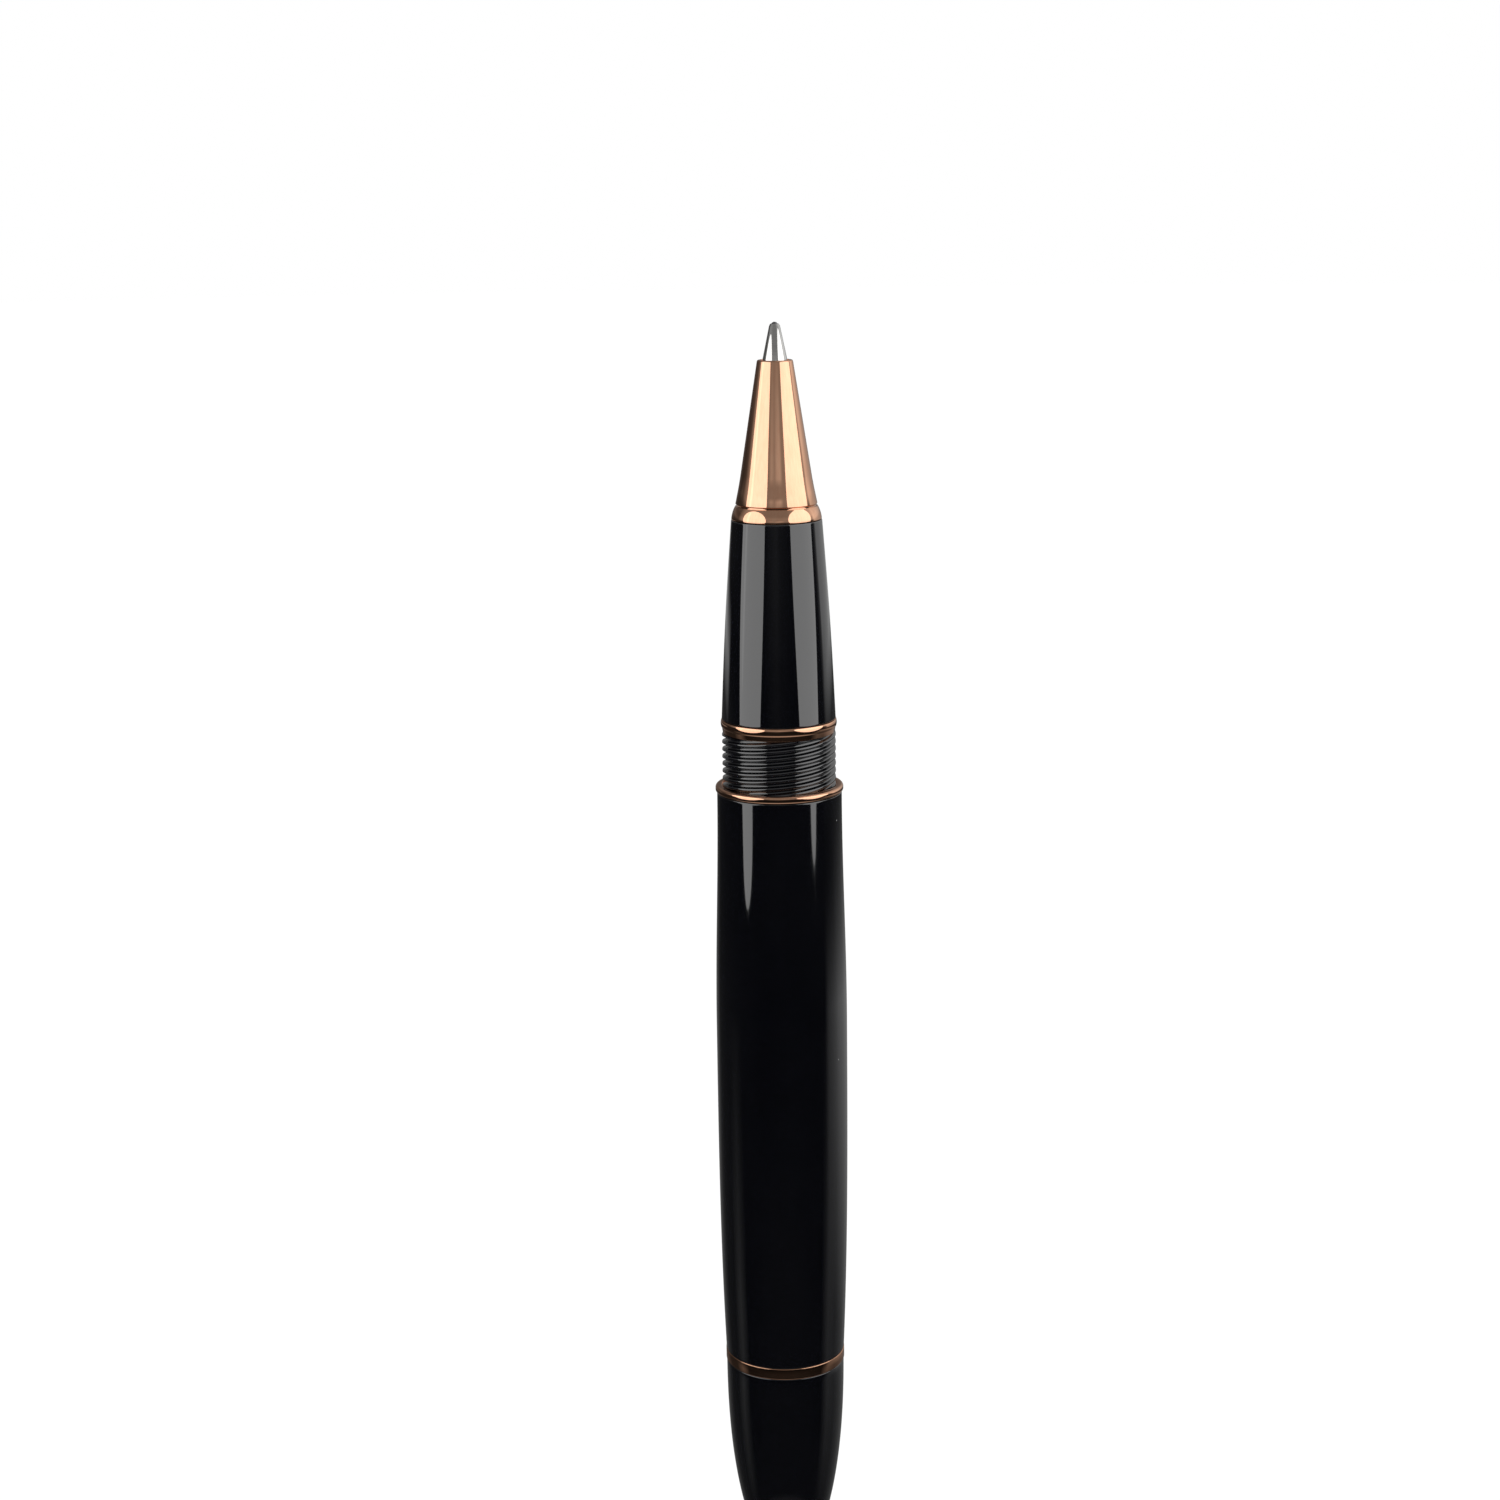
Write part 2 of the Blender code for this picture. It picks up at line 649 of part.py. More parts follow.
def build_refill(parent):
    """The refill: neck, tube, fibre reservoir, wick and rear plug."""
    spigot = tube_bore - GLUE_GAP
    shank_pocket = point_shank + GLUE_GAP
    shank_pocket_floor = point_bottom - SEAT_GAP
    flange_bottom = neck_shoulder - NECK_FLANGE_HEIGHT
    neck = [
        (neck_front_radius, neck_front),
        (refill_radius, neck_shoulder),
        (refill_radius, flange_bottom),
        (spigot, flange_bottom),
        (spigot, neck_bottom),
        (feed_bore, neck_bottom),
        (feed_bore, shank_pocket_floor),
        (shank_pocket, shank_pocket_floor),
        (shank_pocket, neck_front),
    ]
    turned("refill_neck", neck, NECK_PLASTIC, parent, INNER_SIDES)

    tube = [
        (refill_radius, tube_front),
        (refill_radius, refill_rear),
        (tube_bore, refill_rear),
        (tube_bore, tube_front),
    ]
    turned("refill_tube", tube, TUBE_METAL, parent, INNER_SIDES)

    reservoir_front = neck_bottom - SEAT_GAP
    wick_bottom = reservoir_front - FEED_DEPTH
    wick_top = ball_centre - ball_radius - BALL_GAP - THROAT_LENGTH - SEAT_GAP
    reservoir = [
        (0, wick_bottom - SEAT_GAP),
        (feed_bore, wick_bottom - SEAT_GAP),
        (feed_bore, reservoir_front),
        (spigot, reservoir_front),
        (spigot, plug_top + SEAT_GAP),
        (0, plug_top + SEAT_GAP),
    ]
    turned("ink_reservoir", reservoir, FIBRE, parent, INNER_SIDES)

    wick = [(0, wick_top), (feed_radius, wick_top), (feed_radius, wick_bottom), (0, wick_bottom)]
    turned("ink_feed", wick, FIBRE, parent, INNER_SIDES)

    plug = [(0, plug_top), (spigot, plug_top), (spigot, refill_rear), (0, refill_rear)]
    turned("refill_plug", plug, NECK_PLASTIC, parent, INNER_SIDES)


def build_tip_ball(parent):
    """The writing ball, with its own origin at its centre."""
    shape = bmesh.new()
    radius = ball_radius * METRES
    bmesh.ops.create_uvsphere(shape, u_segments=BALL_SIDES, v_segments=BALL_RINGS, radius=radius)
    ball = add_piece("tip_ball", shape, CARBIDE, parent)
    ball.location.z = ball_centre * METRES


def main():
    """Build every body of the pen, each under the empty on its joint's axis."""
    clear_scene()
    barrel_axis = axis_empty("barrel_axis")
    section_slide_axis = axis_empty("section_slide_axis", barrel_axis)
    section_turn_axis = axis_empty("section_turn_axis", section_slide_axis)
    refill_axis = axis_empty("refill_axis", section_slide_axis)

    build_barrel(barrel_axis)
    build_barrel_ring(barrel_axis)
    build_thread_collar(barrel_axis)
    build_collar_bush(barrel_axis)
    build_seal_ring(barrel_axis)
    build_tail(barrel_axis)
    build_spring_seat(barrel_axis)
    build_spring(barrel_axis)

    build_section_ring(section_slide_axis)

    build_grip_section(section_turn_axis)
    build_section_nipple(section_turn_axis)
    build_nose_cone(section_turn_axis)

    build_tip_point(refill_axis)
    build_refill(refill_axis)
    build_tip_ball(refill_axis)

    print(f"overall length {tip_top - tail_end:.2f} mm, barrel diameter {2 * barrel_radius:.2f} mm")
    print(f"refill length {tip_top - refill_rear:.2f} mm")


main()
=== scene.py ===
"""Looks of a rollerball pen, uncapped, with its tip up.

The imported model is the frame, and each piece here stands for one of its nodes. Sizes are in
millimetres and become metres where a mesh is made. Heights run along the pen's axis, +Z towards the
tip, and outlines are chains of corners that are turned about that axis.
"""

import json
import logging
import math
from collections.abc import Callable
from dataclasses import dataclass
from enum import Enum
from functools import partial

import bmesh
import bpy
from mathutils import Matrix, Vector

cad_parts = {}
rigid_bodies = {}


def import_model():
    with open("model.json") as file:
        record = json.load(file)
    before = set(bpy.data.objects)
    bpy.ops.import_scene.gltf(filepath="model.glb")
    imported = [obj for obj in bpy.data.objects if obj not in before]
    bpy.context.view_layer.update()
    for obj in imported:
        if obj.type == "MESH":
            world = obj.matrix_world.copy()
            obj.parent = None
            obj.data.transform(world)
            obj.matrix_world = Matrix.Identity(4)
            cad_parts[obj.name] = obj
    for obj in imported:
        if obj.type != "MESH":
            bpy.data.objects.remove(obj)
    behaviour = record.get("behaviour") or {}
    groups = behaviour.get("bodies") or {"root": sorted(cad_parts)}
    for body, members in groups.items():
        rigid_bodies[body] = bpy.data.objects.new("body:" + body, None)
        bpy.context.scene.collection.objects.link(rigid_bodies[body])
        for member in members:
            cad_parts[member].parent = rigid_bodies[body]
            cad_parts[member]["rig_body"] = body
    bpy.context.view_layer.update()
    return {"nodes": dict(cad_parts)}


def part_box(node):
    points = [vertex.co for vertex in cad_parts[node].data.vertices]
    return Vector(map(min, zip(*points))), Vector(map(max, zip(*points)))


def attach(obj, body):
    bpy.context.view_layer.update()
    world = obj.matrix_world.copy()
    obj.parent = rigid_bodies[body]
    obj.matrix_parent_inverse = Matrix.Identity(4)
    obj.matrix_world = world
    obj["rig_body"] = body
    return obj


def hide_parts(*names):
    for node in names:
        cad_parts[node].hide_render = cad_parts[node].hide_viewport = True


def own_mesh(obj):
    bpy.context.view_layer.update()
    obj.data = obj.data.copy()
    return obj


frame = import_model()

LOG = logging.getLogger("pen")

MM = 0.001
PEN_AXIS = (0.0, 0.0, 1.0)
ORIGIN = (0.0, 0.0, 0.0)
# Metres within which points count as one, or as lying on a cut.
MERGE = 1e-7
THREAD_MERGE = 1e-6
CUT_TOLERANCE = 1e-9
RIM_TOLERANCE = 1e-6

# Facets around, along a curve and on a rounded corner.
OUTER_SIDES = 192
INNER_SIDES = 96
CURVE_STEPS = 32
ROUND_STEPS = 5
THREAD_ROUND_STEPS = 2

# Edges sharper than this stay sharp, and curves get one more corner this far from their ends.
SHARP_ANGLE = math.radians(38)
END_GUARD = 0.15

# Clearances at a seat, in a glued joint and in a running thread.
SEAT_GAP = 0.05
GLUE_GAP = 0.08
RUN_GAP = 0.15

Socket = bpy.types.NodeSocket
Piece = bpy.types.Object
Colour = tuple[float, float, float]
WHITE = (1.0, 1.0, 1.0)


@dataclass(frozen=True)
class Corner:
    """One corner of an outline.

    Attributes:
        radius: Distance from the pen's axis.
        height: Height along the pen's axis.
        setback: How far along both edges the arc starts that rounds the corner off.
    """

    radius: float
    height: float
    setback: float = 0.0


Outline = list[Corner]


@dataclass(frozen=True)
class Room:
    """The room that one CAD node takes.

    Attributes:
        bottom: Lowest height.
        top: Highest height.
        radius: Greatest distance from the axis.
    """

    bottom: float
    top: float
    radius: float

    @classmethod
    def of(cls, node: str) -> "Room":
        """Measure the room of a CAD node."""
        low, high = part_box(node)
        return cls(low.z / MM, high.z / MM, high.x / MM)


@dataclass(frozen=True)
class Thread:
    """A screw thread's section, with a crest's middle on the +X side at the thread's bottom.

    Attributes:
        root: Radius between the ridges.
        crest: Radius over the ridges.
        pitch: Height from ridge to ridge.
        starts: Number of ridges that wind side by side.
        crest_flat: Height of a ridge's outer face.
        flank: Height of each sloping side.
        setback: Rounding of every edge of a ridge.
        lean: Fall in radius across each flat, towards the top.
    """

    root: float
    crest: float
    pitch: float
    starts: int
    crest_flat: float
    flank: float
    setback: float
    lean: float = 0.0

    @property
    def lead(self) -> float:
        """Height gained in one turn."""
        return self.pitch * self.starts

    def outline(self, first: float, ridges: int) -> Outline:
        """The section of a row of ridges.

        Args:
            first: Height of the middle of the lowest groove.
            ridges: Number of ridges.

        Returns:
            Corners from that groove to the one above the last ridge.
        """
        low = (self.pitch - self.crest_flat) / 2 - self.flank
        high = low + 2 * self.flank + self.crest_flat
        corners = []
        for ridge in range(ridges):
            foot = first + ridge * self.pitch
            corners += [
                Corner(self.root, foot),
                Corner(self.root - self.lean / 2, foot + low, self.setback),
                Corner(self.crest, foot + low + self.flank, self.setback),
                Corner(self.crest - self.lean, foot + high - self.flank, self.setback),
                Corner(self.root + self.lean / 2, foot + high, self.setback),
            ]
        return corners + [Corner(self.root, first + ridges * self.pitch)]


def stations(first: float, last: float, steps: int = CURVE_STEPS) -> list[float]:
    """Evenly spaced values from first to last, both included."""
    return [first + (last - first) * step / steps for step in range(steps + 1)]


def guarded(values: list[float]) -> list[float]:
    """Add a value next to each end, so that a rounded end leaves the shading beyond it true."""
    inward = math.copysign(END_GUARD, values[-1] - values[0])
    return [values[0], values[0] + inward, *values[1:-1], values[-1] - inward, values[-1]]


def bead(radius: float, height: float, width: float, rise: float, first: float, last: float) -> Outline:
    """Corners on an ellipse about a middle, between two angles in degrees up from outward."""
    angles = [math.radians(angle) for angle in stations(first, last, 2 * ROUND_STEPS)]
    return [Corner(radius + width * math.cos(a), height + rise * math.sin(a)) for a in angles]


def curved(heights: list[float], radius_at: Callable[[float], float], setback: float) -> Outline:
    """The outside of a curved tube, with both ends rounded.

    Args:
        heights: Heights in order.
        radius_at: Gives the radius at a height.
        setback: Rounding of both ends.

    Returns:
        Corners along the outside.
    """
    corners = []
    for height in guarded(heights):
        at_end = height in (heights[0], heights[-1])
        corners.append(Corner(radius_at(height), height, setback if at_end else 0.0))
    return corners


def plain_tube(room: Room, bore: float, front_setback: float, rear_setback: float) -> Outline:
    """A plain tube, or a rod where the bore is 0.

    Args:
        room: Room that it fills.
        bore: Inside radius.
        front_setback: Rounding of the front edge.
        rear_setback: Rounding of the rear edge.

    Returns:
        Corners from the front of the bore round to its rear.
    """
    return [
        Corner(bore, room.top),
        Corner(room.radius, room.top, front_setback),
        Corner(room.radius, room.bottom, rear_setback),
        Corner(bore, room.bottom),
    ]


def draw_wire(outline: Outline, closed: bool, segments: int = ROUND_STEPS) -> bmesh.types.BMesh:
    """Draw an outline as a chain of edges, and round its corners.

    Args:
        outline: Corners in order.
        closed: Whether the last corner joins the first.
        segments: Number of facets on each rounded corner.

    Returns:
        A shape that holds the chain in the XZ plane.
    """
    shape = bmesh.new()
    spots = [shape.verts.new((corner.radius * MM, 0.0, corner.height * MM)) for corner in outline]
    for pair in zip(spots, spots[1:]):
        shape.edges.new(pair)
    if closed:
        shape.edges.new((spots[-1], spots[0]))
    for spot, corner in zip(spots, outline):
        if corner.setback > 0.0:
            bmesh.ops.bevel(
                shape,
                geom=[spot],
                offset=corner.setback * MM,
                offset_type="OFFSET",
                segments=segments,
                profile=0.5,
                affect="VERTICES",
                material=-1,
                clamp_overlap=True,
            )
    return shape


def sweep(shape: bmesh.types.BMesh, turns: float, steps: int, rise: float = 0.0) -> None:
    """Sweep a chain of edges about the pen's axis: level, or along a helix.

    Args:
        shape: Shape that holds the chain.
        turns: Number of turns.
        steps: Number of facets in all.
        rise: Height gained in all. A level sweep closes on itself.
    """
    bmesh.ops.spin(
        shape,
        geom=shape.verts[:] + shape.edges[:],
        axis=PEN_AXIS,
        cent=ORIGIN,
        dvec=(0.0, 0.0, rise * MM / steps),
        angle=math.tau * turns,
        steps=steps,
        use_merge=rise == 0.0,
    )


def spin_wire(shape: bmesh.types.BMesh, sides: int) -> None:
    """Turn a chain of edges once about the pen's axis, and join what meets."""
    sweep(shape, 1.0, sides)
    bmesh.ops.remove_doubles(shape, verts=shape.verts, dist=MERGE)


def to_piece(name: str, shape: bmesh.types.BMesh) -> Piece:
    """Make an object of a finished shape, smooth apart from its sharp edges.

    Args:
        name: Name of the piece.
        shape: The shape, which is used up.

    Returns:
        The new object.
    """
    bmesh.ops.recalc_face_normals(shape, faces=shape.faces)
    mesh = bpy.data.meshes.new(name)
    shape.to_mesh(mesh)
    shape.free()
    mesh.shade_smooth()
    mesh.set_sharp_from_angle(angle=SHARP_ANGLE)
    piece = bpy.data.objects.new(name, mesh)
    bpy.context.scene.collection.objects.link(piece)
    return piece


def keep_walls_even(piece: Piece) -> Piece:
    """Let large faces set the shading, so that a rounded edge doesn't bend the wall beside it.

    Args:
        piece: The piece.

    Returns:
        The same piece.
    """
    shading = piece.modifiers.new("even_walls", "WEIGHTED_NORMAL")
    shading.keep_sharp = True
    return piece


def turned(name: str, outline: Outline, sides: int = OUTER_SIDES) -> Piece:
    """Turn an outline into a piece: a solid if it starts on the axis, and otherwise a tube.

    Args:
        name: Name of the piece.
        outline: Corners in order.
        sides: Number of facets around.

    Returns:
        The new object.
    """
    shape = draw_wire(outline, closed=outline[0].radius > 0.0)
    spin_wire(shape, sides)
    return keep_walls_even(to_piece(name, shape))


def wind_thread(thread: Thread, bottom: float, top: float, sides: int) -> bmesh.types.BMesh:
    """Wind a thread's section into a wall, and cut the wall level at both ends.

    Args:
        thread: The thread's section.
        bottom: Height of the lower cut.
        top: Height of the upper cut.
        sides: Number of facets in one turn.

    Returns:
        A shape that holds the open wall.
    """
    first = bottom - thread.lead - thread.pitch / 2
    ridges = math.ceil((top - first) / thread.pitch)
    wall = draw_wire(thread.outline(first, ridges), closed=False, segments=THREAD_ROUND_STEPS)
    sweep(wall, 1.0, sides, thread.lead)
    bmesh.ops.remove_doubles(wall, verts=wall.verts, dist=THREAD_MERGE)
    for height, is_bottom in ((bottom, True), (top, False)):
        bmesh.ops.bisect_plane(
            wall,
            geom=wall.verts[:] + wall.edges[:] + wall.faces[:],
            plane_co=(0.0, 0.0, height * MM),
            plane_no=PEN_AXIS,
            dist=CUT_TOLERANCE,
            clear_inner=is_bottom,
            clear_outer=not is_bottom,
        )
    return wall


def threaded(name: str, thread: Thread, bottom: float, top: float, plain: Outline, sides: int) -> Piece:
    """Make a tube that carries a thread.

    Args:
        name: Name of the piece.
        thread: The thread's section.
        bottom: Height where the thread starts.
        top: Height where it ends.
        plain: Outline of the rest, from the thread's top round to its bottom.
        sides: Number of facets around.

    Returns:
        The new object.
    """
    shape = wind_thread(thread, bottom, top, sides)
    core = draw_wire(plain, closed=False)
    spin_wire(core, sides)
    core_mesh = bpy.data.meshes.new(name + "_core")
    core.to_mesh(core_mesh)
    core.free()
    shape.from_mesh(core_mesh)
    bpy.data.meshes.remove(core_mesh)
    for height in (bottom, top):
        rim = [
            edge
            for edge in shape.edges
            if edge.is_boundary and all(abs(spot.co.z - height * MM) < RIM_TOLERANCE for spot in edge.verts)
        ]
        bmesh.ops.triangle_fill(shape, edges=rim, normal=PEN_AXIS, use_beauty=True)
    return keep_walls_even(to_piece(name, shape))


class NodeSheet:
    """A node tree, with short ways to add nodes and join them."""

    # Sockets of the Mix node when it mixes colours.
    MIX_SHARE = 0
    MIX_COLOURS = (6, 7)
    MIX_RESULT = 2

    def __init__(self, tree: bpy.types.NodeTree) -> None:
        """Start from an empty tree."""
        self.tree = tree
        tree.nodes.clear()

    def add(self, kind: str, **settings: object) -> bpy.types.Node:
        """Add a node.

        Args:
            kind: Blender's name for the kind of node.
            settings: Properties to set on it.

        Returns:
            The new node.
        """
        node = self.tree.nodes.new(kind)
        for key, value in settings.items():
            setattr(node, key, value)
        return node

    def put(self, target: Socket, source: Socket | float | tuple[float, ...]) -> None:
        """Link a socket to its source, or give it a plain value.

        Args:
            target: Socket that takes the value.
            source: Another node's output, or the value itself.
        """
        if isinstance(source, bpy.types.NodeSocket):
            self.tree.links.new(source, target)
        else:
            target.default_value = source

    def stretched(self, scale: tuple[float, float, float]) -> Socket:
        """The piece's own coordinates in millimetres, stretched.

        Args:
            scale: Pattern cells per millimetre along X, Y and Z.

        Returns:
            The coordinates.
        """
        place = self.add("ShaderNodeTexCoord")
        mapping = self.add("ShaderNodeMapping")
        self.put(mapping.inputs["Vector"], place.outputs["Object"])
        self.put(mapping.inputs["Scale"], tuple(value / MM for value in scale))
        return mapping.outputs["Vector"]

    def noise(self, scale: tuple[float, float, float], detail: float) -> Socket:
        """A cloudy pattern around 0.5.

        Args:
            scale: Pattern cells per millimetre along X, Y and Z.
            detail: Number of finer layers.

        Returns:
            The pattern's value.
        """
        node = self.add("ShaderNodeTexNoise")
        self.put(node.inputs["Vector"], self.stretched(scale))
        self.put(node.inputs["Scale"], 1.0)
        self.put(node.inputs["Detail"], detail)
        return node.outputs["Fac"]

    def maths(self, operation: str, first: Socket | float, second: Socket | float) -> Socket:
        """Work out one value from two.

        Args:
            operation: Blender's name for the sum.
            first: First value.
            second: Second value.

        Returns:
            The result.
        """
        node = self.add("ShaderNodeMath", operation=operation)
        self.put(node.inputs[0], first)
        self.put(node.inputs[1], second)
        return node.outputs[0]

    def ranged(self, value: Socket, low: float, high: float, to_low: float, to_high: float) -> Socket:
        """Map a range of values on to another, and stop at its ends.

        Args:
            value: Value to map.
            low: Value that becomes to_low.
            high: Value that becomes to_high.
            to_low: Result at low.
            to_high: Result at high.

        Returns:
            The mapped value.
        """
        node = self.add("ShaderNodeMapRange", clamp=True)
        self.put(node.inputs["Value"], value)
        self.put(node.inputs["From Min"], low)
        self.put(node.inputs["From Max"], high)
        self.put(node.inputs["To Min"], to_low)
        self.put(node.inputs["To Max"], to_high)
        return node.outputs["Result"]

    def mixed(self, share: Socket, first: Socket | Colour, second: Socket | Colour) -> Socket:
        """Mix two colours.

        Args:
            share: Share of the second colour.
            first: First colour.
            second: Second colour.

        Returns:
            The mixed colour.
        """
        node = self.add("ShaderNodeMix", data_type="RGBA")
        self.put(node.inputs[self.MIX_SHARE], share)
        for socket, colour in zip(self.MIX_COLOURS, (first, second)):
            is_plain = isinstance(colour, tuple)
            self.put(node.inputs[socket], (*colour, 1.0) if is_plain else colour)
        return node.outputs[self.MIX_RESULT]

    def seen(self) -> Socket:
        """1 for rays from the camera and rays through glass, 0 for all others."""
        ray = self.add("ShaderNodeLightPath")
        return self.maths("MAXIMUM", ray.outputs["Is Camera Ray"], ray.outputs["Is Transmission Ray"])


class Grain(Enum):
    """How the lines of a finish lie: cells per millimetre across the pen's axis and along it."""

    TURNED = (0.35, 9.0)
    POLISHED = (5.0, 0.12)
    DRAWN = (7.0, 0.25)
    MOULDED = (4.0, 4.0)
    FIBROUS = (9.0, 0.4)


@dataclass(frozen=True)
class Finish:
    """How one kind of surface looks.

    Attributes:
        slot: The record's material slot.
        colour: Main colour.
        shade: Colour that the lines and patches run to.
        metallic: 1 for bare metal, 0 for anything else.
        roughness: Middle roughness.
        spread: How far the roughness strays to either side.
        grain: How the lines lie.
        relief: Depth of the lines.
        ior: Index of refraction.
        coat: Weight of a clear polished layer.
        dust: Share of the dust cells that hold a speck.
    """

    slot: str
    colour: Colour
    shade: Colour
    metallic: float
    roughness: float
    spread: float
    grain: Grain
    relief: float
    ior: float = 1.5
    coat: float = 0.0
    dust: float = 0.0

    LINE_DETAIL = 4.0
    LINE_SHARE = 0.6
    PATCH_CELLS = 0.3
    PATCH_DETAIL = 2.0
    SHADE_RANGE = (0.35, 0.7)
    ROUGHNESS_RANGE = (0.3, 0.7)
    DUST_CELLS = 0.55
    DUST_CORE = 0.0225
    DUST_RADIUS = 0.045
    DUST_COLOUR = (0.32, 0.32, 0.31)
    DUST_ROUGHNESS = 0.7
    COAT_ROUGHNESS = 0.012

    def lines(self, sheet: NodeSheet) -> Socket:
        """The pattern of fine lines that the maker's tool left."""
        across, along = self.grain.value
        return sheet.noise((across, across, along), self.LINE_DETAIL)

    def specks(self, sheet: NodeSheet) -> Socket:
        """Mark the sparse specks of dust.

        Args:
            sheet: The material's nodes.

        Returns:
            1 on a speck, 0 elsewhere.
        """
        cells = sheet.add("ShaderNodeTexVoronoi")
        sheet.put(cells.inputs["Vector"], sheet.stretched((self.DUST_CELLS,) * 3))
        sheet.put(cells.inputs["Scale"], 1.0)
        chance = sheet.add("ShaderNodeSeparateColor")
        sheet.put(chance.inputs[0], cells.outputs["Color"])
        held = sheet.maths("LESS_THAN", chance.outputs[0], self.dust)
        near = sheet.ranged(cells.outputs["Distance"], self.DUST_CORE, self.DUST_RADIUS, 1.0, 0.0)
        return sheet.maths("MULTIPLY", held, near)

    def material(self) -> bpy.types.Material:
        """Build the finish's material, or find it if it is there already.

        Returns:
            The material.
        """
        name = self.slot + "_finish"
        made = bpy.data.materials.get(name)
        if made:
            return made
        material = bpy.data.materials.new(name)
        material.use_nodes = True
        sheet = NodeSheet(material.node_tree)
        shader = sheet.add("ShaderNodeBsdfPrincipled")
        lines = self.lines(sheet)
        patches = sheet.noise((self.PATCH_CELLS,) * 3, self.PATCH_DETAIL)
        fine = sheet.maths("MULTIPLY", lines, self.LINE_SHARE)
        broad = sheet.maths("MULTIPLY", patches, 1.0 - self.LINE_SHARE)
        wear = sheet.maths("ADD", fine, broad)
        colour = sheet.mixed(sheet.ranged(wear, *self.SHADE_RANGE, 0.0, 1.0), self.colour, self.shade)
        low, high = self.roughness - self.spread, self.roughness + self.spread
        roughness = sheet.ranged(wear, *self.ROUGHNESS_RANGE, low, high)
        if self.dust:
            specks = self.specks(sheet)
            colour = sheet.mixed(specks, colour, self.DUST_COLOUR)
            dull = sheet.maths("MULTIPLY", specks, self.DUST_ROUGHNESS)
            roughness = sheet.maths("MAXIMUM", roughness, dull)
        bump = sheet.add("ShaderNodeBump")
        sheet.put(bump.inputs["Height"], lines)
        sheet.put(bump.inputs["Distance"], self.relief * MM)
        sources = {
            "Base Color": colour,
            "Roughness": roughness,
            "Normal": bump.outputs["Normal"],
            "Metallic": self.metallic,
            "IOR": self.ior,
            "Coat Weight": self.coat,
            "Coat Roughness": self.COAT_ROUGHNESS,
        }
        for socket, source in sources.items():
            sheet.put(shader.inputs[socket], source)
        output = sheet.add("ShaderNodeOutputMaterial")
        sheet.put(output.inputs["Surface"], shader.outputs[0])
        return material


BLACK_RESIN = Finish(
    slot="black_resin",
    colour=(0.0006, 0.0007, 0.0014),
    shade=(0.0012, 0.0013, 0.0022),
    metallic=0.0,
    roughness=0.035,
    spread=0.012,
    grain=Grain.POLISHED,
    relief=0.00002,
    ior=1.76,
    coat=1.0,
    dust=0.05,
)
ROSE_GOLD = Finish(
    slot="rose_gold",
    colour=(0.93, 0.54, 0.35),
    shade=(0.87, 0.46, 0.29),
    metallic=1.0,
    roughness=0.035,
    spread=0.015,
    grain=Grain.POLISHED,
    relief=0.00005,
)
POINT_STEEL = Finish(
    slot="point_steel",
    colour=(0.78, 0.77, 0.75),
    shade=(0.66, 0.65, 0.63),
    metallic=1.0,
    roughness=0.06,
    spread=0.02,
    grain=Grain.TURNED,
    relief=0.0001,
)
BALL_CARBIDE = Finish(
    slot="ball_carbide",
    colour=(0.32, 0.32, 0.33),
    shade=(0.22, 0.22, 0.23),
    metallic=1.0,
    roughness=0.24,
    spread=0.06,
    grain=Grain.MOULDED,
    relief=0.0003,
)
INNER_BRASS = Finish(
    slot="inner_brass",
    colour=(0.78, 0.57, 0.25),
    shade=(0.62, 0.42, 0.17),
    metallic=1.0,
    roughness=0.28,
    spread=0.08,
    grain=Grain.TURNED,
    relief=0.002,
)
REFILL_PLASTIC = Finish(
    slot="refill_plastic",
    colour=(0.022, 0.022, 0.025),
    shade=(0.04, 0.04, 0.043),
    metallic=0.0,
    roughness=0.42,
    spread=0.08,
    grain=Grain.MOULDED,
    relief=0.004,
)
REFILL_METAL = Finish(
    slot="refill_metal",
    colour=(0.66, 0.66, 0.68),
    shade=(0.5, 0.5, 0.52),
    metallic=1.0,
    roughness=0.3,
    spread=0.08,
    grain=Grain.DRAWN,
    relief=0.002,
)
INK_FIBRE = Finish(
    slot="ink_fibre",
    colour=(0.02, 0.03, 0.11),
    shade=(0.1, 0.13, 0.28),
    metallic=0.0,
    roughness=0.9,
    spread=0.08,
    grain=Grain.FIBROUS,
    relief=0.03,
)
SEAT_PLASTIC = Finish(
    slot="seat_plastic",
    colour=(0.72, 0.71, 0.67),
    shade=(0.62, 0.61, 0.56),
    metallic=0.0,
    roughness=0.46,
    spread=0.08,
    grain=Grain.MOULDED,
    relief=0.004,
)
SEAL_RUBBER = Finish(
    slot="seal_rubber",
    colour=(0.016, 0.016, 0.016),
    shade=(0.032, 0.032, 0.03),
    metallic=0.0,
    roughness=0.72,
    spread=0.1,
    grain=Grain.MOULDED,
    relief=0.006,
)
SPRING_STEEL = Finish(
    slot="spring_steel",
    colour=(0.6, 0.6, 0.61),
    shade=(0.42, 0.42, 0.43),
    metallic=1.0,
    roughness=0.3,
    spread=0.08,
    grain=Grain.DRAWN,
    relief=0.002,
)


def fit(piece: Piece, node: str, finish: Finish) -> Piece:
    """Put a piece in a CAD node's place: its body and its finish.

    Args:
        piece: The piece.
        node: Name of the node that it stands for.
        finish: How its surface looks.

    Returns:
        The same piece.
    """
    piece.data.materials.append(finish.material())
    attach(piece, frame["nodes"][node]["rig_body"])
    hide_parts(node)
    return piece


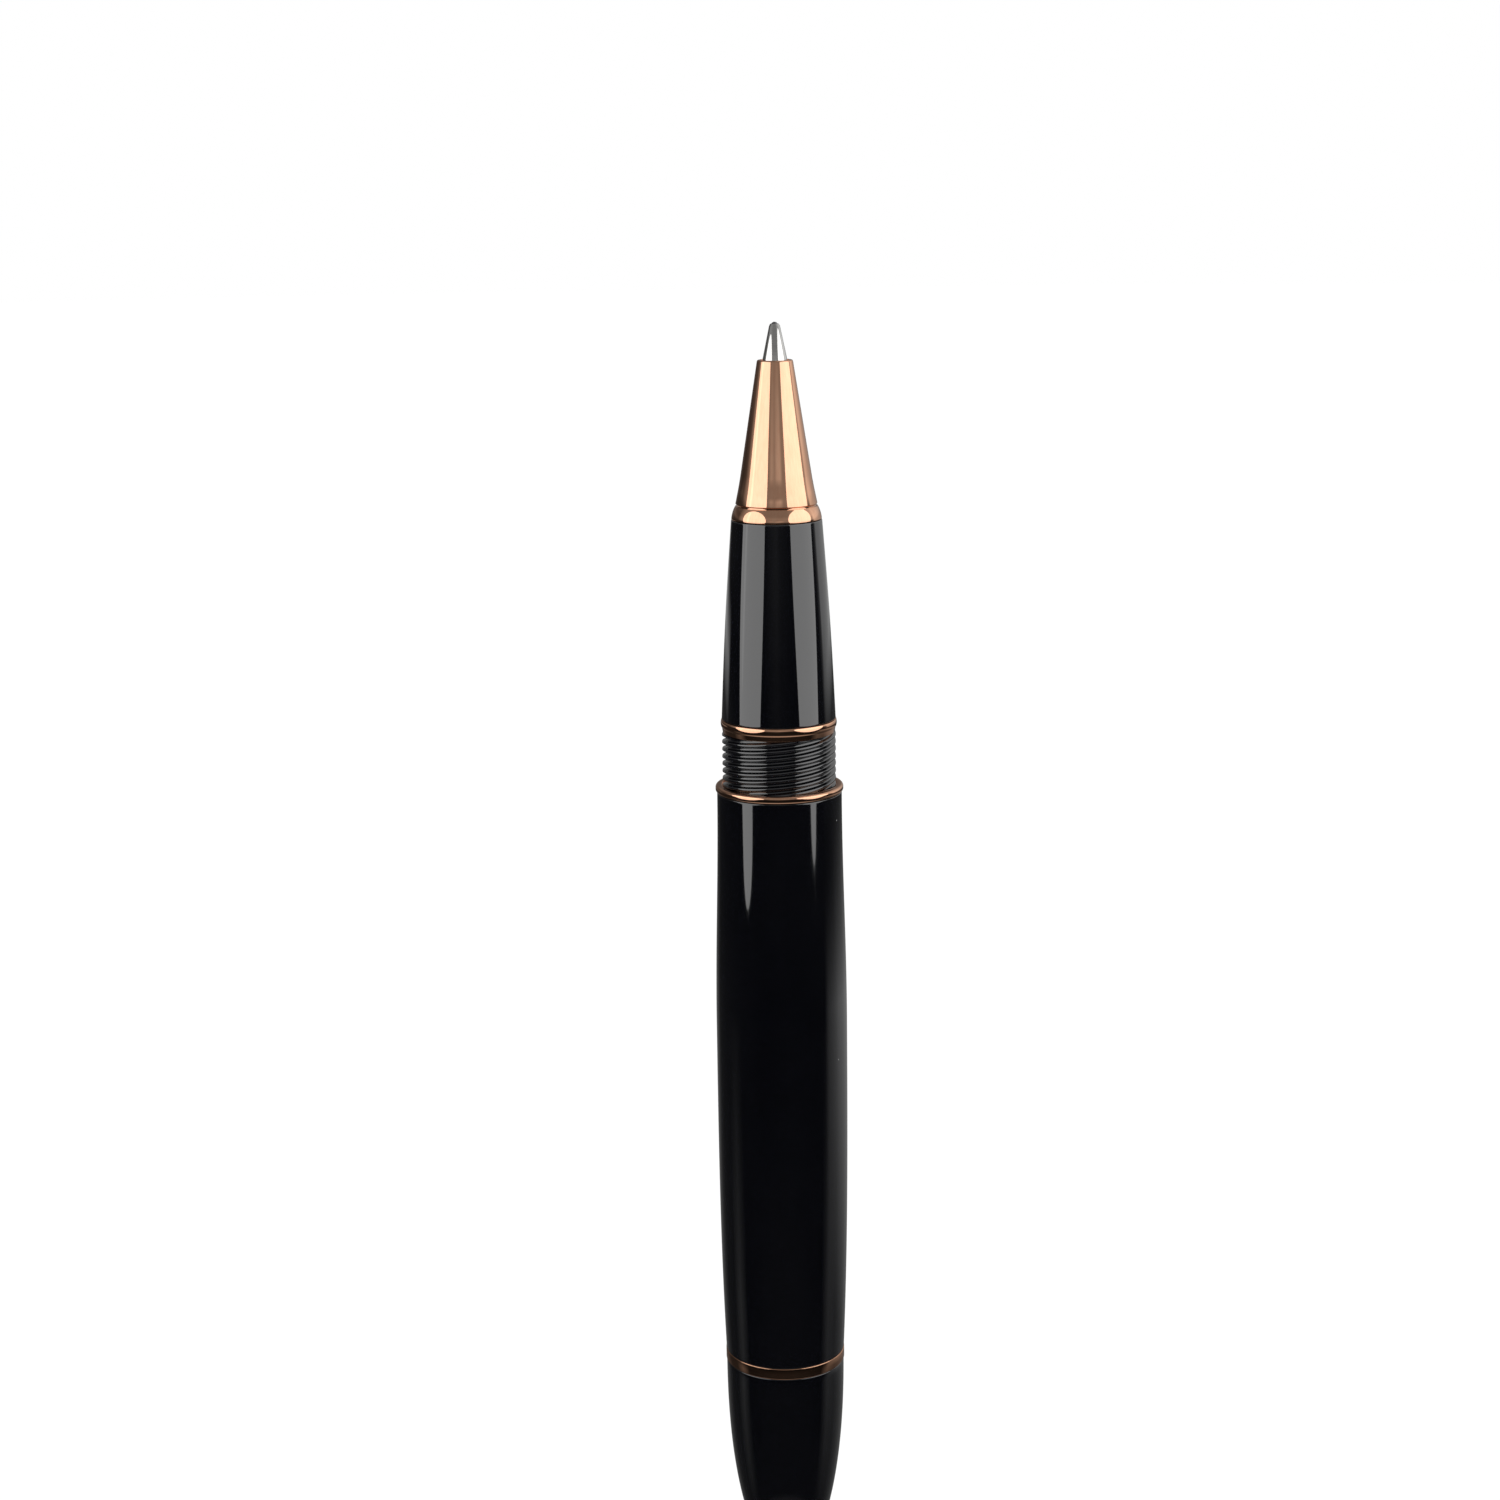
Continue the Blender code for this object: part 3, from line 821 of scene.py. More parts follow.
@dataclass
class WritingPoint:
    """The steel point and the ball that rolls in it."""

    mouth: float = 0.34
    lip: float = 0.415
    crimp: float = 0.50
    crimp_drop: float = 0.17
    cone_step: float = 0.02
    throat: float = 0.15
    throat_length: float = 0.6
    socket: float = 0.38
    feed_bore: float = 0.48
    lip_setback: float = 0.03
    crimp_setback: float = 0.04
    step_setback: float = 0.008
    foot_setback: float = 0.1
    ball_sides: int = 64
    ball_rings: int = 32

    def build(self) -> list[Piece]:
        """Build and dress the point and the ball."""
        return [self.build_point(), self.build_ball()]

    def build_point(self) -> Piece:
        """The turned cone: a crimped lip round the ball, a fine step below it, and the shank.

        Returns:
            The point.
        """
        room = Room.of("tip_point")
        ball = Room.of("tip_ball")
        middle = (ball.bottom + ball.top) / 2
        cone_foot = Room.of("nose_cone").top
        crimp_foot = room.top - self.crimp_drop
        throat_top = ball.bottom - (self.socket - ball.radius)
        throat_foot = throat_top - self.throat_length
        outline = [
            Corner(self.mouth, room.top),
            Corner(self.lip, room.top, self.lip_setback),
            Corner(self.crimp, crimp_foot, self.crimp_setback),
            Corner(self.crimp + self.cone_step, crimp_foot - self.cone_step, self.step_setback),
            Corner(room.radius, cone_foot, self.foot_setback),
            Corner(room.radius, room.bottom),
            Corner(self.feed_bore, room.bottom),
            Corner(self.feed_bore, throat_foot),
            Corner(self.throat, throat_foot),
            Corner(self.throat, throat_top),
            Corner(self.socket, middle - ball.radius / 2),
            Corner(self.socket, middle),
        ]
        return fit(turned("steel_point", outline, INNER_SIDES), "tip_point", POINT_STEEL)

    def build_ball(self) -> Piece:
        """The ground ball, in its place in the socket.

        Returns:
            The ball.
        """
        room = Room.of("tip_ball")
        shape = bmesh.new()
        middle = Matrix.Translation((0.0, 0.0, (room.bottom + room.top) / 2 * MM))
        bmesh.ops.create_uvsphere(
            shape,
            u_segments=self.ball_sides,
            v_segments=self.ball_rings,
            radius=room.radius * MM,
            matrix=middle,
        )
        return fit(to_piece("writing_ball", shape), "tip_ball", BALL_CARBIDE)


@dataclass
class NoseCone:
    """The plated cone: lip, straight cone, flared foot, groove, rounded base and hidden shank."""

    mouth: float = 1.33
    mouth_setback: float = 0.04
    lip_radius: float = 1.7
    lip_setback: float = 0.14
    flare_height: float = 57.8
    flare_radius: float = 3.52
    flare_setback: float = 0.8
    foot_height: float = 55.82
    foot_radius: float = 3.93
    foot_setback: float = 0.05
    groove_depth: float = 0.13
    groove_height: float = 55.6
    groove_setback: float = 0.02
    base_foot: float = 54.44
    base_height: float = 54.35
    base_setback: float = 0.05
    base_curve: float = 3.18
    base_top_turn: float = 29.0
    base_foot_turn: float = 7.0
    shank_radius: float = 3.65
    shank_setback: float = 0.1
    bore: float = 3.15
    stop_radius: float = 1.95
    stop_height: float = 63.75

    def build(self) -> list[Piece]:
        """Build and dress the cone.

        Returns:
            The cone.
        """
        room = Room.of("nose_cone")
        groove = self.foot_radius - self.groove_depth
        outline = [
            Corner(self.mouth, room.top, self.mouth_setback),
            Corner(self.lip_radius, room.top, self.lip_setback),
            Corner(self.flare_radius, self.flare_height, self.flare_setback),
            Corner(self.foot_radius, self.foot_height, self.foot_setback),
            Corner(groove, self.foot_height - self.groove_depth / 2, self.groove_setback),
            Corner(groove, self.groove_height, self.groove_setback),
        ]
        lean = math.radians(self.base_foot_turn)
        middle = room.radius - self.base_curve * math.cos(lean)
        level = self.base_foot - self.base_curve * math.sin(lean)
        turn = (self.base_top_turn, self.base_foot_turn)
        outline += bead(middle, level, self.base_curve, self.base_curve, *turn)
        outline += [
            Corner(room.radius, self.base_height, self.base_setback),
            Corner(self.shank_radius, self.base_height),
            Corner(self.shank_radius, room.bottom, self.shank_setback),
            Corner(self.bore, room.bottom),
            Corner(self.bore, self.groove_height),
            Corner(self.stop_radius, self.stop_height),
            Corner(self.mouth, self.stop_height),
        ]
        return [fit(turned("nose_cone_shell", outline), "nose_cone", ROSE_GOLD)]


@dataclass
class JointThread:
    """The screw joint between grip and barrel, shared by the nipple and the bush."""

    root: float = 3.65
    depth: float = 0.45
    pitch: float = 0.75
    crest_flat: float = 0.1
    flank: float = 0.24
    setback: float = 0.03

    def cut(self, clearance: float) -> Thread:
        """The thread, grown by a clearance."""
        root = self.root + clearance
        return Thread(root, root + self.depth, self.pitch, 1, self.crest_flat, self.flank, self.setback)


@dataclass
class GripSection:
    """The grip with its threaded nipple."""

    front_radius: float = 4.37
    swell: float = 0.1
    end_setback: float = 0.09
    nipple_radius: float = 3.95
    nipple_seat: float = 40.9
    nipple_setback: float = 0.1
    thread_top: float = 33.11
    shank_pocket: float = 3.73
    shank_pocket_floor: float = 49.3
    bore: float = 3.15

    def build(self) -> list[Piece]:
        """Build and dress the grip and the nipple."""
        return [self.build_grip(), self.build_nipple()]

    def radius_at(self, room: Room, height: float) -> float:
        """The outside radius: a slim taper, a little fuller in the middle.

        Args:
            room: The grip's room.
            height: Height along the axis.

        Returns:
            The radius there.
        """
        share = (room.top - height) / (room.top - room.bottom)
        taper = (room.radius - self.front_radius) * share
        return self.front_radius + taper + self.swell * math.sin(math.pi * share)

    def build_grip(self) -> Piece:
        """The glossy tube, counterbored for the cone's shank and for the nipple.

        Returns:
            The grip.
        """
        room = Room.of("grip_section")
        pocket = self.nipple_radius + GLUE_GAP
        pocket_floor = self.nipple_seat + SEAT_GAP
        heights = stations(room.top, room.bottom)
        outline = curved(heights, partial(self.radius_at, room), self.end_setback)
        outline += [
            Corner(pocket, room.bottom),
            Corner(pocket, pocket_floor),
            Corner(self.bore, pocket_floor),
            Corner(self.bore, self.shank_pocket_floor),
            Corner(self.shank_pocket, self.shank_pocket_floor),
            Corner(self.shank_pocket, room.top),
        ]
        return fit(turned("grip_tube", outline), "grip_section", BLACK_RESIN)

    def build_nipple(self) -> Piece:
        """The brass nipple: plain in the grip, threaded where it enters the bush.

        Returns:
            The nipple.
        """
        room = Room.of("section_nipple")
        plain = [
            Corner(self.nipple_radius, self.thread_top),
            Corner(self.nipple_radius, room.top, self.nipple_setback),
            Corner(self.bore, room.top, self.nipple_setback),
            Corner(self.bore, room.bottom),
        ]
        thread = JointThread().cut(0.0)
        piece = threaded("threaded_nipple", thread, room.bottom, self.thread_top, plain, INNER_SIDES)
        return fit(piece, "section_nipple", INNER_BRASS)


@dataclass
class SectionRing:
    """The loose trim ring behind the grip: a half-round bead over a step that tapers inwards."""

    bore: float = 4.025
    step_radius: float = 5.53
    step_foot: float = 5.46
    step_height: float = 0.53
    bead_width: float = 0.1
    bead_top_turn: float = 90.0
    bead_foot_turn: float = -60.0
    edge_setback: float = 0.04

    def build(self) -> list[Piece]:
        """Build and dress the ring.

        Returns:
            The ring.
        """
        room = Room.of("section_ring")
        step_top = room.bottom + self.step_height
        rise = (room.top - step_top) / 2
        outline = [Corner(self.bore, room.top)]
        turn = (self.bead_top_turn, self.bead_foot_turn)
        outline += bead(room.radius - self.bead_width, room.top - rise, self.bead_width, rise, *turn)
        outline += [
            Corner(self.step_radius, step_top - self.edge_setback, self.edge_setback / 2),
            Corner(self.step_foot, room.bottom, self.edge_setback),
            Corner(self.bore, room.bottom),
        ]
        return [fit(turned("grip_trim_ring", outline), "section_ring", ROSE_GOLD)]


@dataclass
class CapCollar:
    """The collar with the cap thread, the bush and the seal inside it, and the ring at its foot."""

    thread_root: float = 5.2
    thread_pitch: float = 0.72
    thread_starts: int = 4
    thread_crest_flat: float = 0.22
    thread_flank: float = 0.13
    thread_setback: float = 0.045
    thread_lean: float = 0.022
    bore: float = 4.68
    bore_setback: float = 0.05
    spigot: float = 5.15
    spigot_setback: float = 0.1
    shoulder: float = 28.3
    bush_setback: float = 0.08
    seal_sweep: float = 342.0
    ring_bore: float = 5.23
    ring_recess: float = 5.63
    ring_recess_depth: float = 0.1
    ring_recess_setback: float = 0.03
    ring_setback: float = 0.25

    def build(self) -> list[Piece]:
        """Build and dress the collar, the bush, the seal and the ring."""
        return [self.build_collar(), self.build_bush(), self.build_seal(), self.build_ring()]

    def build_collar(self) -> Piece:
        """The black collar: four-start thread above, plain spigot below.

        Returns:
            The collar.
        """
        room = Room.of("thread_collar")
        thread = Thread(
            self.thread_root,
            room.radius,
            self.thread_pitch,
            self.thread_starts,
            self.thread_crest_flat,
            self.thread_flank,
            self.thread_setback,
            self.thread_lean,
        )
        plain = [
            Corner(self.bore, room.top, self.bore_setback),
            Corner(self.bore, room.bottom),
            Corner(self.spigot, room.bottom, self.spigot_setback),
            Corner(self.spigot, self.shoulder),
        ]
        piece = threaded("cap_thread_collar", thread, self.shoulder, room.top, plain, INNER_SIDES)
        return fit(piece, "thread_collar", BLACK_RESIN)

    def build_bush(self) -> Piece:
        """The brass bush, threaded inside for the nipple.

        Returns:
            The bush.
        """
        room = Room.of("collar_bush")
        plain = [Corner(room.radius, height, self.bush_setback) for height in (room.top, room.bottom)]
        thread = JointThread().cut(RUN_GAP)
        piece = threaded("threaded_bush", thread, room.bottom, room.top, plain, INNER_SIDES)
        return fit(piece, "collar_bush", INNER_BRASS)

    def build_seal(self) -> Piece:
        """The round rubber ring above the bush.

        Returns:
            The seal.
        """
        room = Room.of("seal_ring")
        size = (room.top - room.bottom) / 2
        section = bead(room.radius - size, room.bottom + size, size, size, 0.0, self.seal_sweep)
        shape = draw_wire(section, closed=True)
        spin_wire(shape, INNER_SIDES)
        return fit(to_piece("seal_o_ring", shape), "seal_ring", SEAL_RUBBER)

    def build_ring(self) -> Piece:
        """The trim ring on the barrel: a thin bead with a flat front that a cap closes on.

        Returns:
            The ring.
        """
        room = Room.of("barrel_ring")
        recess_floor = room.top - self.ring_recess_depth
        outline = [
            Corner(self.ring_bore, recess_floor),
            Corner(self.ring_recess, recess_floor),
            Corner(self.ring_recess, room.top, self.ring_recess_setback),
            Corner(room.radius, room.top, self.ring_setback),
            Corner(room.radius, room.bottom, self.ring_setback),
            Corner(self.ring_bore, room.bottom),
        ]
        return fit(turned("barrel_trim_ring", outline), "barrel_ring", ROSE_GOLD)


@dataclass
class Barrel:
    """The long barrel, fullest a little above the hold."""

    bulge_height: float = 4.0
    front_radius: float = 6.1
    rear_droop: float = 0.5
    droop_power: int = 3
    end_setback: float = 0.06
    bore: float = 3.3
    collar_pocket: float = 5.23
    collar_pocket_floor: float = 22.05
    sleeve_pocket: float = 4.58
    sleeve_pocket_floor: float = -24.5

    def radius_at(self, room: Room, height: float) -> float:
        """The outside radius.

        Args:
            room: The barrel's room.
            height: Height along the axis.

        Returns:
            The radius there.
        """
        if height > self.bulge_height:
            share = (height - self.bulge_height) / (room.top - self.bulge_height)
            swell = (room.radius - self.front_radius) * (1 + math.cos(math.pi * share)) / 2
            return self.front_radius + swell
        share = (self.bulge_height - height) / (self.bulge_height - room.bottom)
        return room.radius - self.rear_droop * share**self.droop_power

    def build(self) -> list[Piece]:
        """Build and dress the barrel.

        Returns:
            The barrel.
        """
        room = Room.of("barrel")
        heights = stations(room.top, self.bulge_height) + stations(self.bulge_height, room.bottom)[1:]
        outline = curved(heights, partial(self.radius_at, room), self.end_setback)
        outline += [
            Corner(self.sleeve_pocket, room.bottom),
            Corner(self.sleeve_pocket, self.sleeve_pocket_floor),
            Corner(self.bore, self.sleeve_pocket_floor),
            Corner(self.bore, self.collar_pocket_floor),
            Corner(self.collar_pocket, self.collar_pocket_floor),
            Corner(self.collar_pocket, room.top),
        ]
        return [fit(turned("barrel_tube", outline), "barrel", BLACK_RESIN)]


@dataclass
class Tail:
    """The tail: its trim ring, its domed cone, and the sleeve and spring stop inside."""

    ring_setback: float = 0.06
    dome_power: float = 2.2
    front_setback: float = 0.08
    pocket: float = 4.58
    pocket_floor: float = -37.8
    bore: float = 3.3
    bore_floor: float = -48.7
    sleeve_setback: float = 0.12
    stop_top: float = -47.35
    stop_setback: float = 0.1
    peg_radius: float = 1.9
    peg_setback: float = 0.3
    peg_foot_setback: float = 0.08

    def build(self) -> list[Piece]:
        """Build and dress the ring, the dome, the sleeve and the spring stop."""
        return [self.build_ring(), self.build_dome(), self.build_sleeve(), self.build_stop()]

    def build_ring(self) -> Piece:
        """The flat trim ring between barrel and tail."""
        outline = plain_tube(Room.of("tail_ring"), self.pocket, self.ring_setback, self.ring_setback)
        return fit(turned("tail_trim_ring", outline), "tail_ring", ROSE_GOLD)

    def build_dome(self) -> Piece:
        """The black tail, with a blind bore for the spring.

        Returns:
            The dome.
        """
        room = Room.of("tail_cone")
        shares = [math.sin(angle) for angle in stations(0.0, math.pi / 2, 2 * CURVE_STEPS)]
        outside = []
        for share in shares[:-1]:
            radius = room.radius * math.sqrt(1 - share**self.dome_power)
            height = room.top - (room.top - room.bottom) * share
            outside.append(Corner(radius, height, 0.0 if share else self.front_setback))
        inside = [
            Corner(0.0, self.bore_floor),
            Corner(self.bore, self.bore_floor),
            Corner(self.bore, self.pocket_floor),
            Corner(self.pocket, self.pocket_floor),
            Corner(self.pocket, room.top),
        ]
        outline = inside + outside + [Corner(0.0, room.bottom)]
        return fit(turned("tail_dome", outline), "tail_cone", BLACK_RESIN)

    def build_sleeve(self) -> Piece:
        """The brass sleeve that joins the tail to the barrel."""
        outline = plain_tube(Room.of("tail_sleeve"), self.bore, self.sleeve_setback, self.sleeve_setback)
        return fit(turned("joining_sleeve", outline, INNER_SIDES), "tail_sleeve", INNER_BRASS)

    def build_stop(self) -> Piece:
        """The pale seat at the bottom of the bore, with a peg that centres the spring.

        Returns:
            The spring stop.
        """
        room = Room.of("spring_seat")
        outline = [
            Corner(0.0, room.top),
            Corner(self.peg_radius, room.top, self.peg_setback),
            Corner(self.peg_radius, self.stop_top, self.peg_foot_setback),
            Corner(room.radius, self.stop_top, self.stop_setback),
            Corner(room.radius, room.bottom, self.stop_setback),
            Corner(0.0, room.bottom),
        ]
        return fit(turned("spring_stop", outline, INNER_SIDES), "spring_seat", SEAT_PLASTIC)


@dataclass
class Refill:
    """The refill behind the point: nose, casing, fibre core, wick and end plug."""

    casing_bore: float = 2.72
    casing_setback: float = 0.06
    spigot: float = 2.64
    spigot_setback: float = 0.15
    nose_front_radius: float = 1.65
    nose_setback: float = 0.1
    nose_shoulder: float = 54.05
    shoulder_setback: float = 0.3
    nose_flange: float = 53.05
    flange_setback: float = 0.08
    shank_pocket: float = 1.26
    shank_pocket_floor: float = 57.7
    feed_bore: float = 0.48
    wick_pocket_floor: float = 42.9
    crimp_inset: float = 3.0
    crimp_depth: float = 0.06
    crimp_half: float = 0.35
    crimp_setback: float = 0.2
    crimp_edge_setback: float = 0.1
    fibre_setback: float = 0.2
    wick_setback: float = 0.12
    plug_front_setback: float = 0.2
    plug_rear_setback: float = 0.1

    def build(self) -> list[Piece]:
        """Build and dress the nose, the casing, the fibre core, the wick and the plug."""
        front = [self.build_nose(), self.build_casing()]
        return [*front, self.build_fibre(), self.build_wick(), self.build_plug()]

    def build_nose(self) -> Piece:
        """The moulded nose: a cone that stops in the metal one, a flange and a spigot.

        Returns:
            The nose.
        """
        room = Room.of("refill_neck")
        outline = [
            Corner(self.nose_front_radius, room.top, self.nose_setback),
            Corner(room.radius, self.nose_shoulder, self.shoulder_setback),
            Corner(room.radius, self.nose_flange, self.flange_setback),
            Corner(self.spigot, self.nose_flange),
            Corner(self.spigot, room.bottom, self.spigot_setback),
            Corner(self.feed_bore, room.bottom),
            Corner(self.feed_bore, self.shank_pocket_floor),
            Corner(self.shank_pocket, self.shank_pocket_floor),
            Corner(self.shank_pocket, room.top),
        ]
        return fit(turned("refill_nose", outline, INNER_SIDES), "refill_neck", REFILL_PLASTIC)

    def build_casing(self) -> Piece:
        """The drawn metal tube, with a shallow crimp near each end.

        Returns:
            The casing.
        """
        room = Room.of("refill_tube")
        outline = [Corner(room.radius, room.top, self.casing_setback)]
        for middle in (room.top - self.crimp_inset, room.bottom + self.crimp_inset):
            outline += [
                Corner(room.radius, middle + self.crimp_half, self.crimp_edge_setback),
                Corner(room.radius - self.crimp_depth, middle, self.crimp_setback),
                Corner(room.radius, middle - self.crimp_half, self.crimp_edge_setback),
            ]
        outline += [
            Corner(room.radius, room.bottom, self.casing_setback),
            Corner(self.casing_bore, room.bottom),
            Corner(self.casing_bore, room.top),
        ]
        return fit(turned("refill_casing", outline, INNER_SIDES), "refill_tube", REFILL_METAL)

    def build_fibre(self) -> Piece:
        """The fibre core that holds the ink, bored for the wick.

        Returns:
            The fibre core.
        """
        room = Room.of("ink_reservoir")
        outline = [
            Corner(0.0, self.wick_pocket_floor),
            Corner(self.feed_bore, self.wick_pocket_floor),
            Corner(self.feed_bore, room.top),
            Corner(self.spigot, room.top, self.fibre_setback),
            Corner(self.spigot, room.bottom, self.fibre_setback),
            Corner(0.0, room.bottom),
        ]
        return fit(turned("ink_fibre_core", outline, INNER_SIDES), "ink_reservoir", INK_FIBRE)

    def build_wick(self) -> Piece:
        """The wick from the fibre core to the ball."""
        outline = plain_tube(Room.of("ink_feed"), 0.0, self.wick_setback, self.wick_setback)
        return fit(turned("ink_wick", outline, INNER_SIDES), "ink_feed", INK_FIBRE)

    def build_plug(self) -> Piece:
        """The moulded plug that closes the casing."""
        outline = plain_tube(Room.of("refill_plug"), 0.0, self.plug_front_setback, self.plug_rear_setback)
        return fit(turned("refill_end_plug", outline, INNER_SIDES), "refill_plug", REFILL_PLASTIC)


@dataclass
class ReturnSpring:
    """The coil spring that presses the refill forward."""

    wire: float = 0.5
    turns: float = 5.5
    steps_per_turn: int = 48
    wire_sides: int = 20
    push: str = "refill_push"
    push_depth: float = 1.0

    def build(self) -> list[Piece]:
        """Wind, close and dress the spring, and give it a mesh of its own.

        Returns:
            The spring.
        """
        room = Room.of("refill_spring")
        low = room.bottom + self.wire / 2
        rise = room.top - room.bottom - self.wire
        steps = round(self.turns * self.steps_per_turn)
        shape = bmesh.new()
        start = Matrix.Translation(((room.radius - self.wire / 2) * MM, 0.0, low * MM))
        across = Matrix.Rotation(math.pi / 2, 4, "X")
        bmesh.ops.create_circle(
            shape,
            segments=self.wire_sides,
            radius=self.wire / 2 * MM,
            matrix=start @ across,
        )
        sweep(shape, self.turns, steps, rise)
        bmesh.ops.holes_fill(shape, edges=shape.edges, sides=self.wire_sides)
        spring = fit(to_piece("return_spring", shape), "refill_spring", SPRING_STEEL)
        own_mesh(spring)
        return [spring]


def direction(azimuth: float, elevation: float) -> Vector:
    """A vector of length 1, in degrees to the right of the camera's side and above the level."""
    turn, rise = math.radians(azimuth), math.radians(elevation)
    return Vector((math.sin(turn) * math.cos(rise), -math.cos(turn) * math.cos(rise), math.sin(rise)))


@dataclass(frozen=True)
class Softbox:
    """An oval lamp.

    Attributes:
        name: Name of the lamp.
        azimuth: Degrees from the camera's side, positive to the right.
        elevation: Degrees above the level.
        half_width: Half of its apparent width, in degrees.
        half_height: Half of its apparent height, in degrees.
        radiance: Brightness of its face, where 1 is white.
        distance: Distance from the pen in metres.
    """

    name: str
    azimuth: float
    elevation: float
    half_width: float
    half_height: float
    radiance: float
    distance: float = 0.3

    def build(self, aim: Vector) -> None:
        """Hang the lamp.

        Args:
            aim: Point that it faces, in metres.
        """
        width = self.distance * math.tan(math.radians(self.half_width))
        height = self.distance * math.tan(math.radians(self.half_height))
        lamp = bpy.data.lights.new(self.name, "AREA")
        lamp.shape = "ELLIPSE"
        lamp.size = 2 * width
        lamp.size_y = 2 * height
        lamp.energy = self.radiance * math.pi**2 * width * height
        holder = bpy.data.objects.new(self.name, lamp)
        towards = direction(self.azimuth, self.elevation)
        holder.location = aim + towards * self.distance
        holder.rotation_euler = towards.to_track_quat("Z", "Y").to_euler()
        holder.visible_camera = False
        bpy.context.scene.collection.objects.link(holder)


@dataclass
class Studio:
    """A white floor and backdrop, oval softboxes, and a dark room in front of the pen."""

    softboxes: tuple[Softbox, ...] = (
        Softbox("softbox_left", -62.0, 11.0, 33.0, 28.4, 1.3),
        Softbox("softbox_left_core", -80.0, 12.0, 3.5, 20.0, 0.3),
        Softbox("softbox_right", 64.0, 13.5, 33.0, 29.9, 1.3),
    )
    aim_height: float = 45.0
    fill: float = 0.8
    floor_radius: float = 3000.0
    floor_sides: int = 128
    floor_colour: Colour = (0.86, 0.86, 0.85)
    floor_shade: Colour = (0.82, 0.82, 0.81)
    mottle_cells: float = 0.02
    mottle_detail: float = 3.0
    mottle_range: tuple[float, float] = (0.3, 0.7)
    floor_glow: float = 0.8
    glow_strength: float = 1.1

    # The room that only reflections see: the elevation of each tier, and its pairs of azimuth and
    # brightness.
    ROOM = (
        (-70.0, ((-180, 0.4), (180, 0.4))),
        (-46.0, ((-180, 0.05), (-90, 0.014), (90, 0.014), (180, 0.05))),
        (-26.0, (
            (-180, 0.14), (-130, 0.02), (-108, 0.02), (-92, 0.1), (-76, 0.008), (-20, 0.016), (20, 0.016),
            (74, 0.008), (90, 0.1), (110, 0.06), (180, 0.14),
        )),
        (-17.0, (
            (-180, 0.2), (-140, 0.02), (-30, 0.005), (0, 0.007), (82, 0.008), (92, 0.14), (120, 0.3),
            (180, 0.2),
        )),
        (-13.0, ((-180, 0.045), (-140, 0.012), (-3, 0.01), (110, 0.012), (180, 0.045))),
        (-9.5, (
            (-180, 0.045), (-30, 0.01), (-3, 0.025), (6, 0.015), (30, 0.01), (110, 0.015), (126, 0.05),
            (180, 0.045),
        )),
        (-7.8, (
            (-180, 0.42), (-130, 0.4), (-122, 0.012), (-30, 0.01), (-3, 0.025), (6, 0.015), (30, 0.01),
            (104, 0.02), (112, 0.3), (124, 0.42), (180, 0.42),
        )),
        (-5.8, (
            (-180, 0.14), (-150, 0.012), (-30, 0.01), (-3, 0.03), (6, 0.018), (30, 0.01), (100, 0.02),
            (108, 0.1), (112, 0.5), (138, 0.4), (180, 0.14),
        )),
        (1.5, (
            (-180, 0.2), (-140, 0.04), (-30, 0.02), (-3, 0.07), (6, 0.04), (30, 0.02), (100, 0.04),
            (106, 0.15), (110, 0.6), (138, 0.42), (180, 0.2),
        )),
        (5.5, (
            (-180, 0.18), (-116, 0.08), (-98, 0.3), (-40, 0.2), (-12, 0.2), (0, 0.3), (12, 0.2), (40, 0.2),
            (96, 0.4), (104, 0.4), (109, 0.8), (124, 0.75), (180, 0.18),
        )),
        (11.5, (
            (-180, 0.1), (-116, 0.06), (-100, 0.3), (-40, 0.28), (-26, 0.22), (-16, 0.38), (-6, 0.28),
            (2, 0.42), (12, 0.46), (20, 0.25), (40, 0.28), (96, 0.5), (104, 0.5), (109, 0.85), (130, 0.75),
            (180, 0.1),
        )),
        (14.0, (
            (-180, 0.1), (-116, 0.06), (-100, 0.25), (-40, 0.2), (-16, 0.24), (2, 0.24), (12, 0.26),
            (40, 0.2), (96, 0.5), (109, 0.8), (130, 0.7), (180, 0.1),
        )),
        (20.0, (
            (-180, 0.15), (-116, 0.08), (-96, 0.3), (-30, 0.26), (30, 0.26), (96, 0.5), (112, 0.8),
            (180, 0.15),
        )),
        (28.0, (
            (-180, 0.2), (-116, 0.1), (-96, 0.3), (-30, 0.2), (30, 0.2), (96, 0.5), (112, 0.7),
            (180, 0.2),
        )),
    )

    def build(self) -> None:
        """Set the view, the world, the lamps and the floor."""
        bpy.context.scene.view_settings.view_transform = "Standard"
        self.build_world()
        for softbox in self.softboxes:
            softbox.build(Vector((0.0, 0.0, self.aim_height * MM)))
        self.build_floor()

    def panorama(self, sheet: NodeSheet, azimuth: Socket, levels: tuple[tuple[float, float], ...]) -> Socket:
        """Grey levels around the horizon.

        Args:
            sheet: The world's nodes.
            azimuth: Degrees from the camera's side.
            levels: Pairs of azimuth and brightness.

        Returns:
            The colour.
        """
        ramp = sheet.add("ShaderNodeValToRGB")
        sheet.put(ramp.inputs[0], sheet.ranged(azimuth, -180.0, 180.0, 0.0, 1.0))
        stops = ramp.color_ramp.elements
        while len(stops) < len(levels):
            stops.new(0.5)
        for stop, (angle, level) in zip(stops, levels):
            stop.position = (angle + 180.0) / 360.0
            stop.color = (level, level, level, 1.0)
        return ramp.outputs[0]

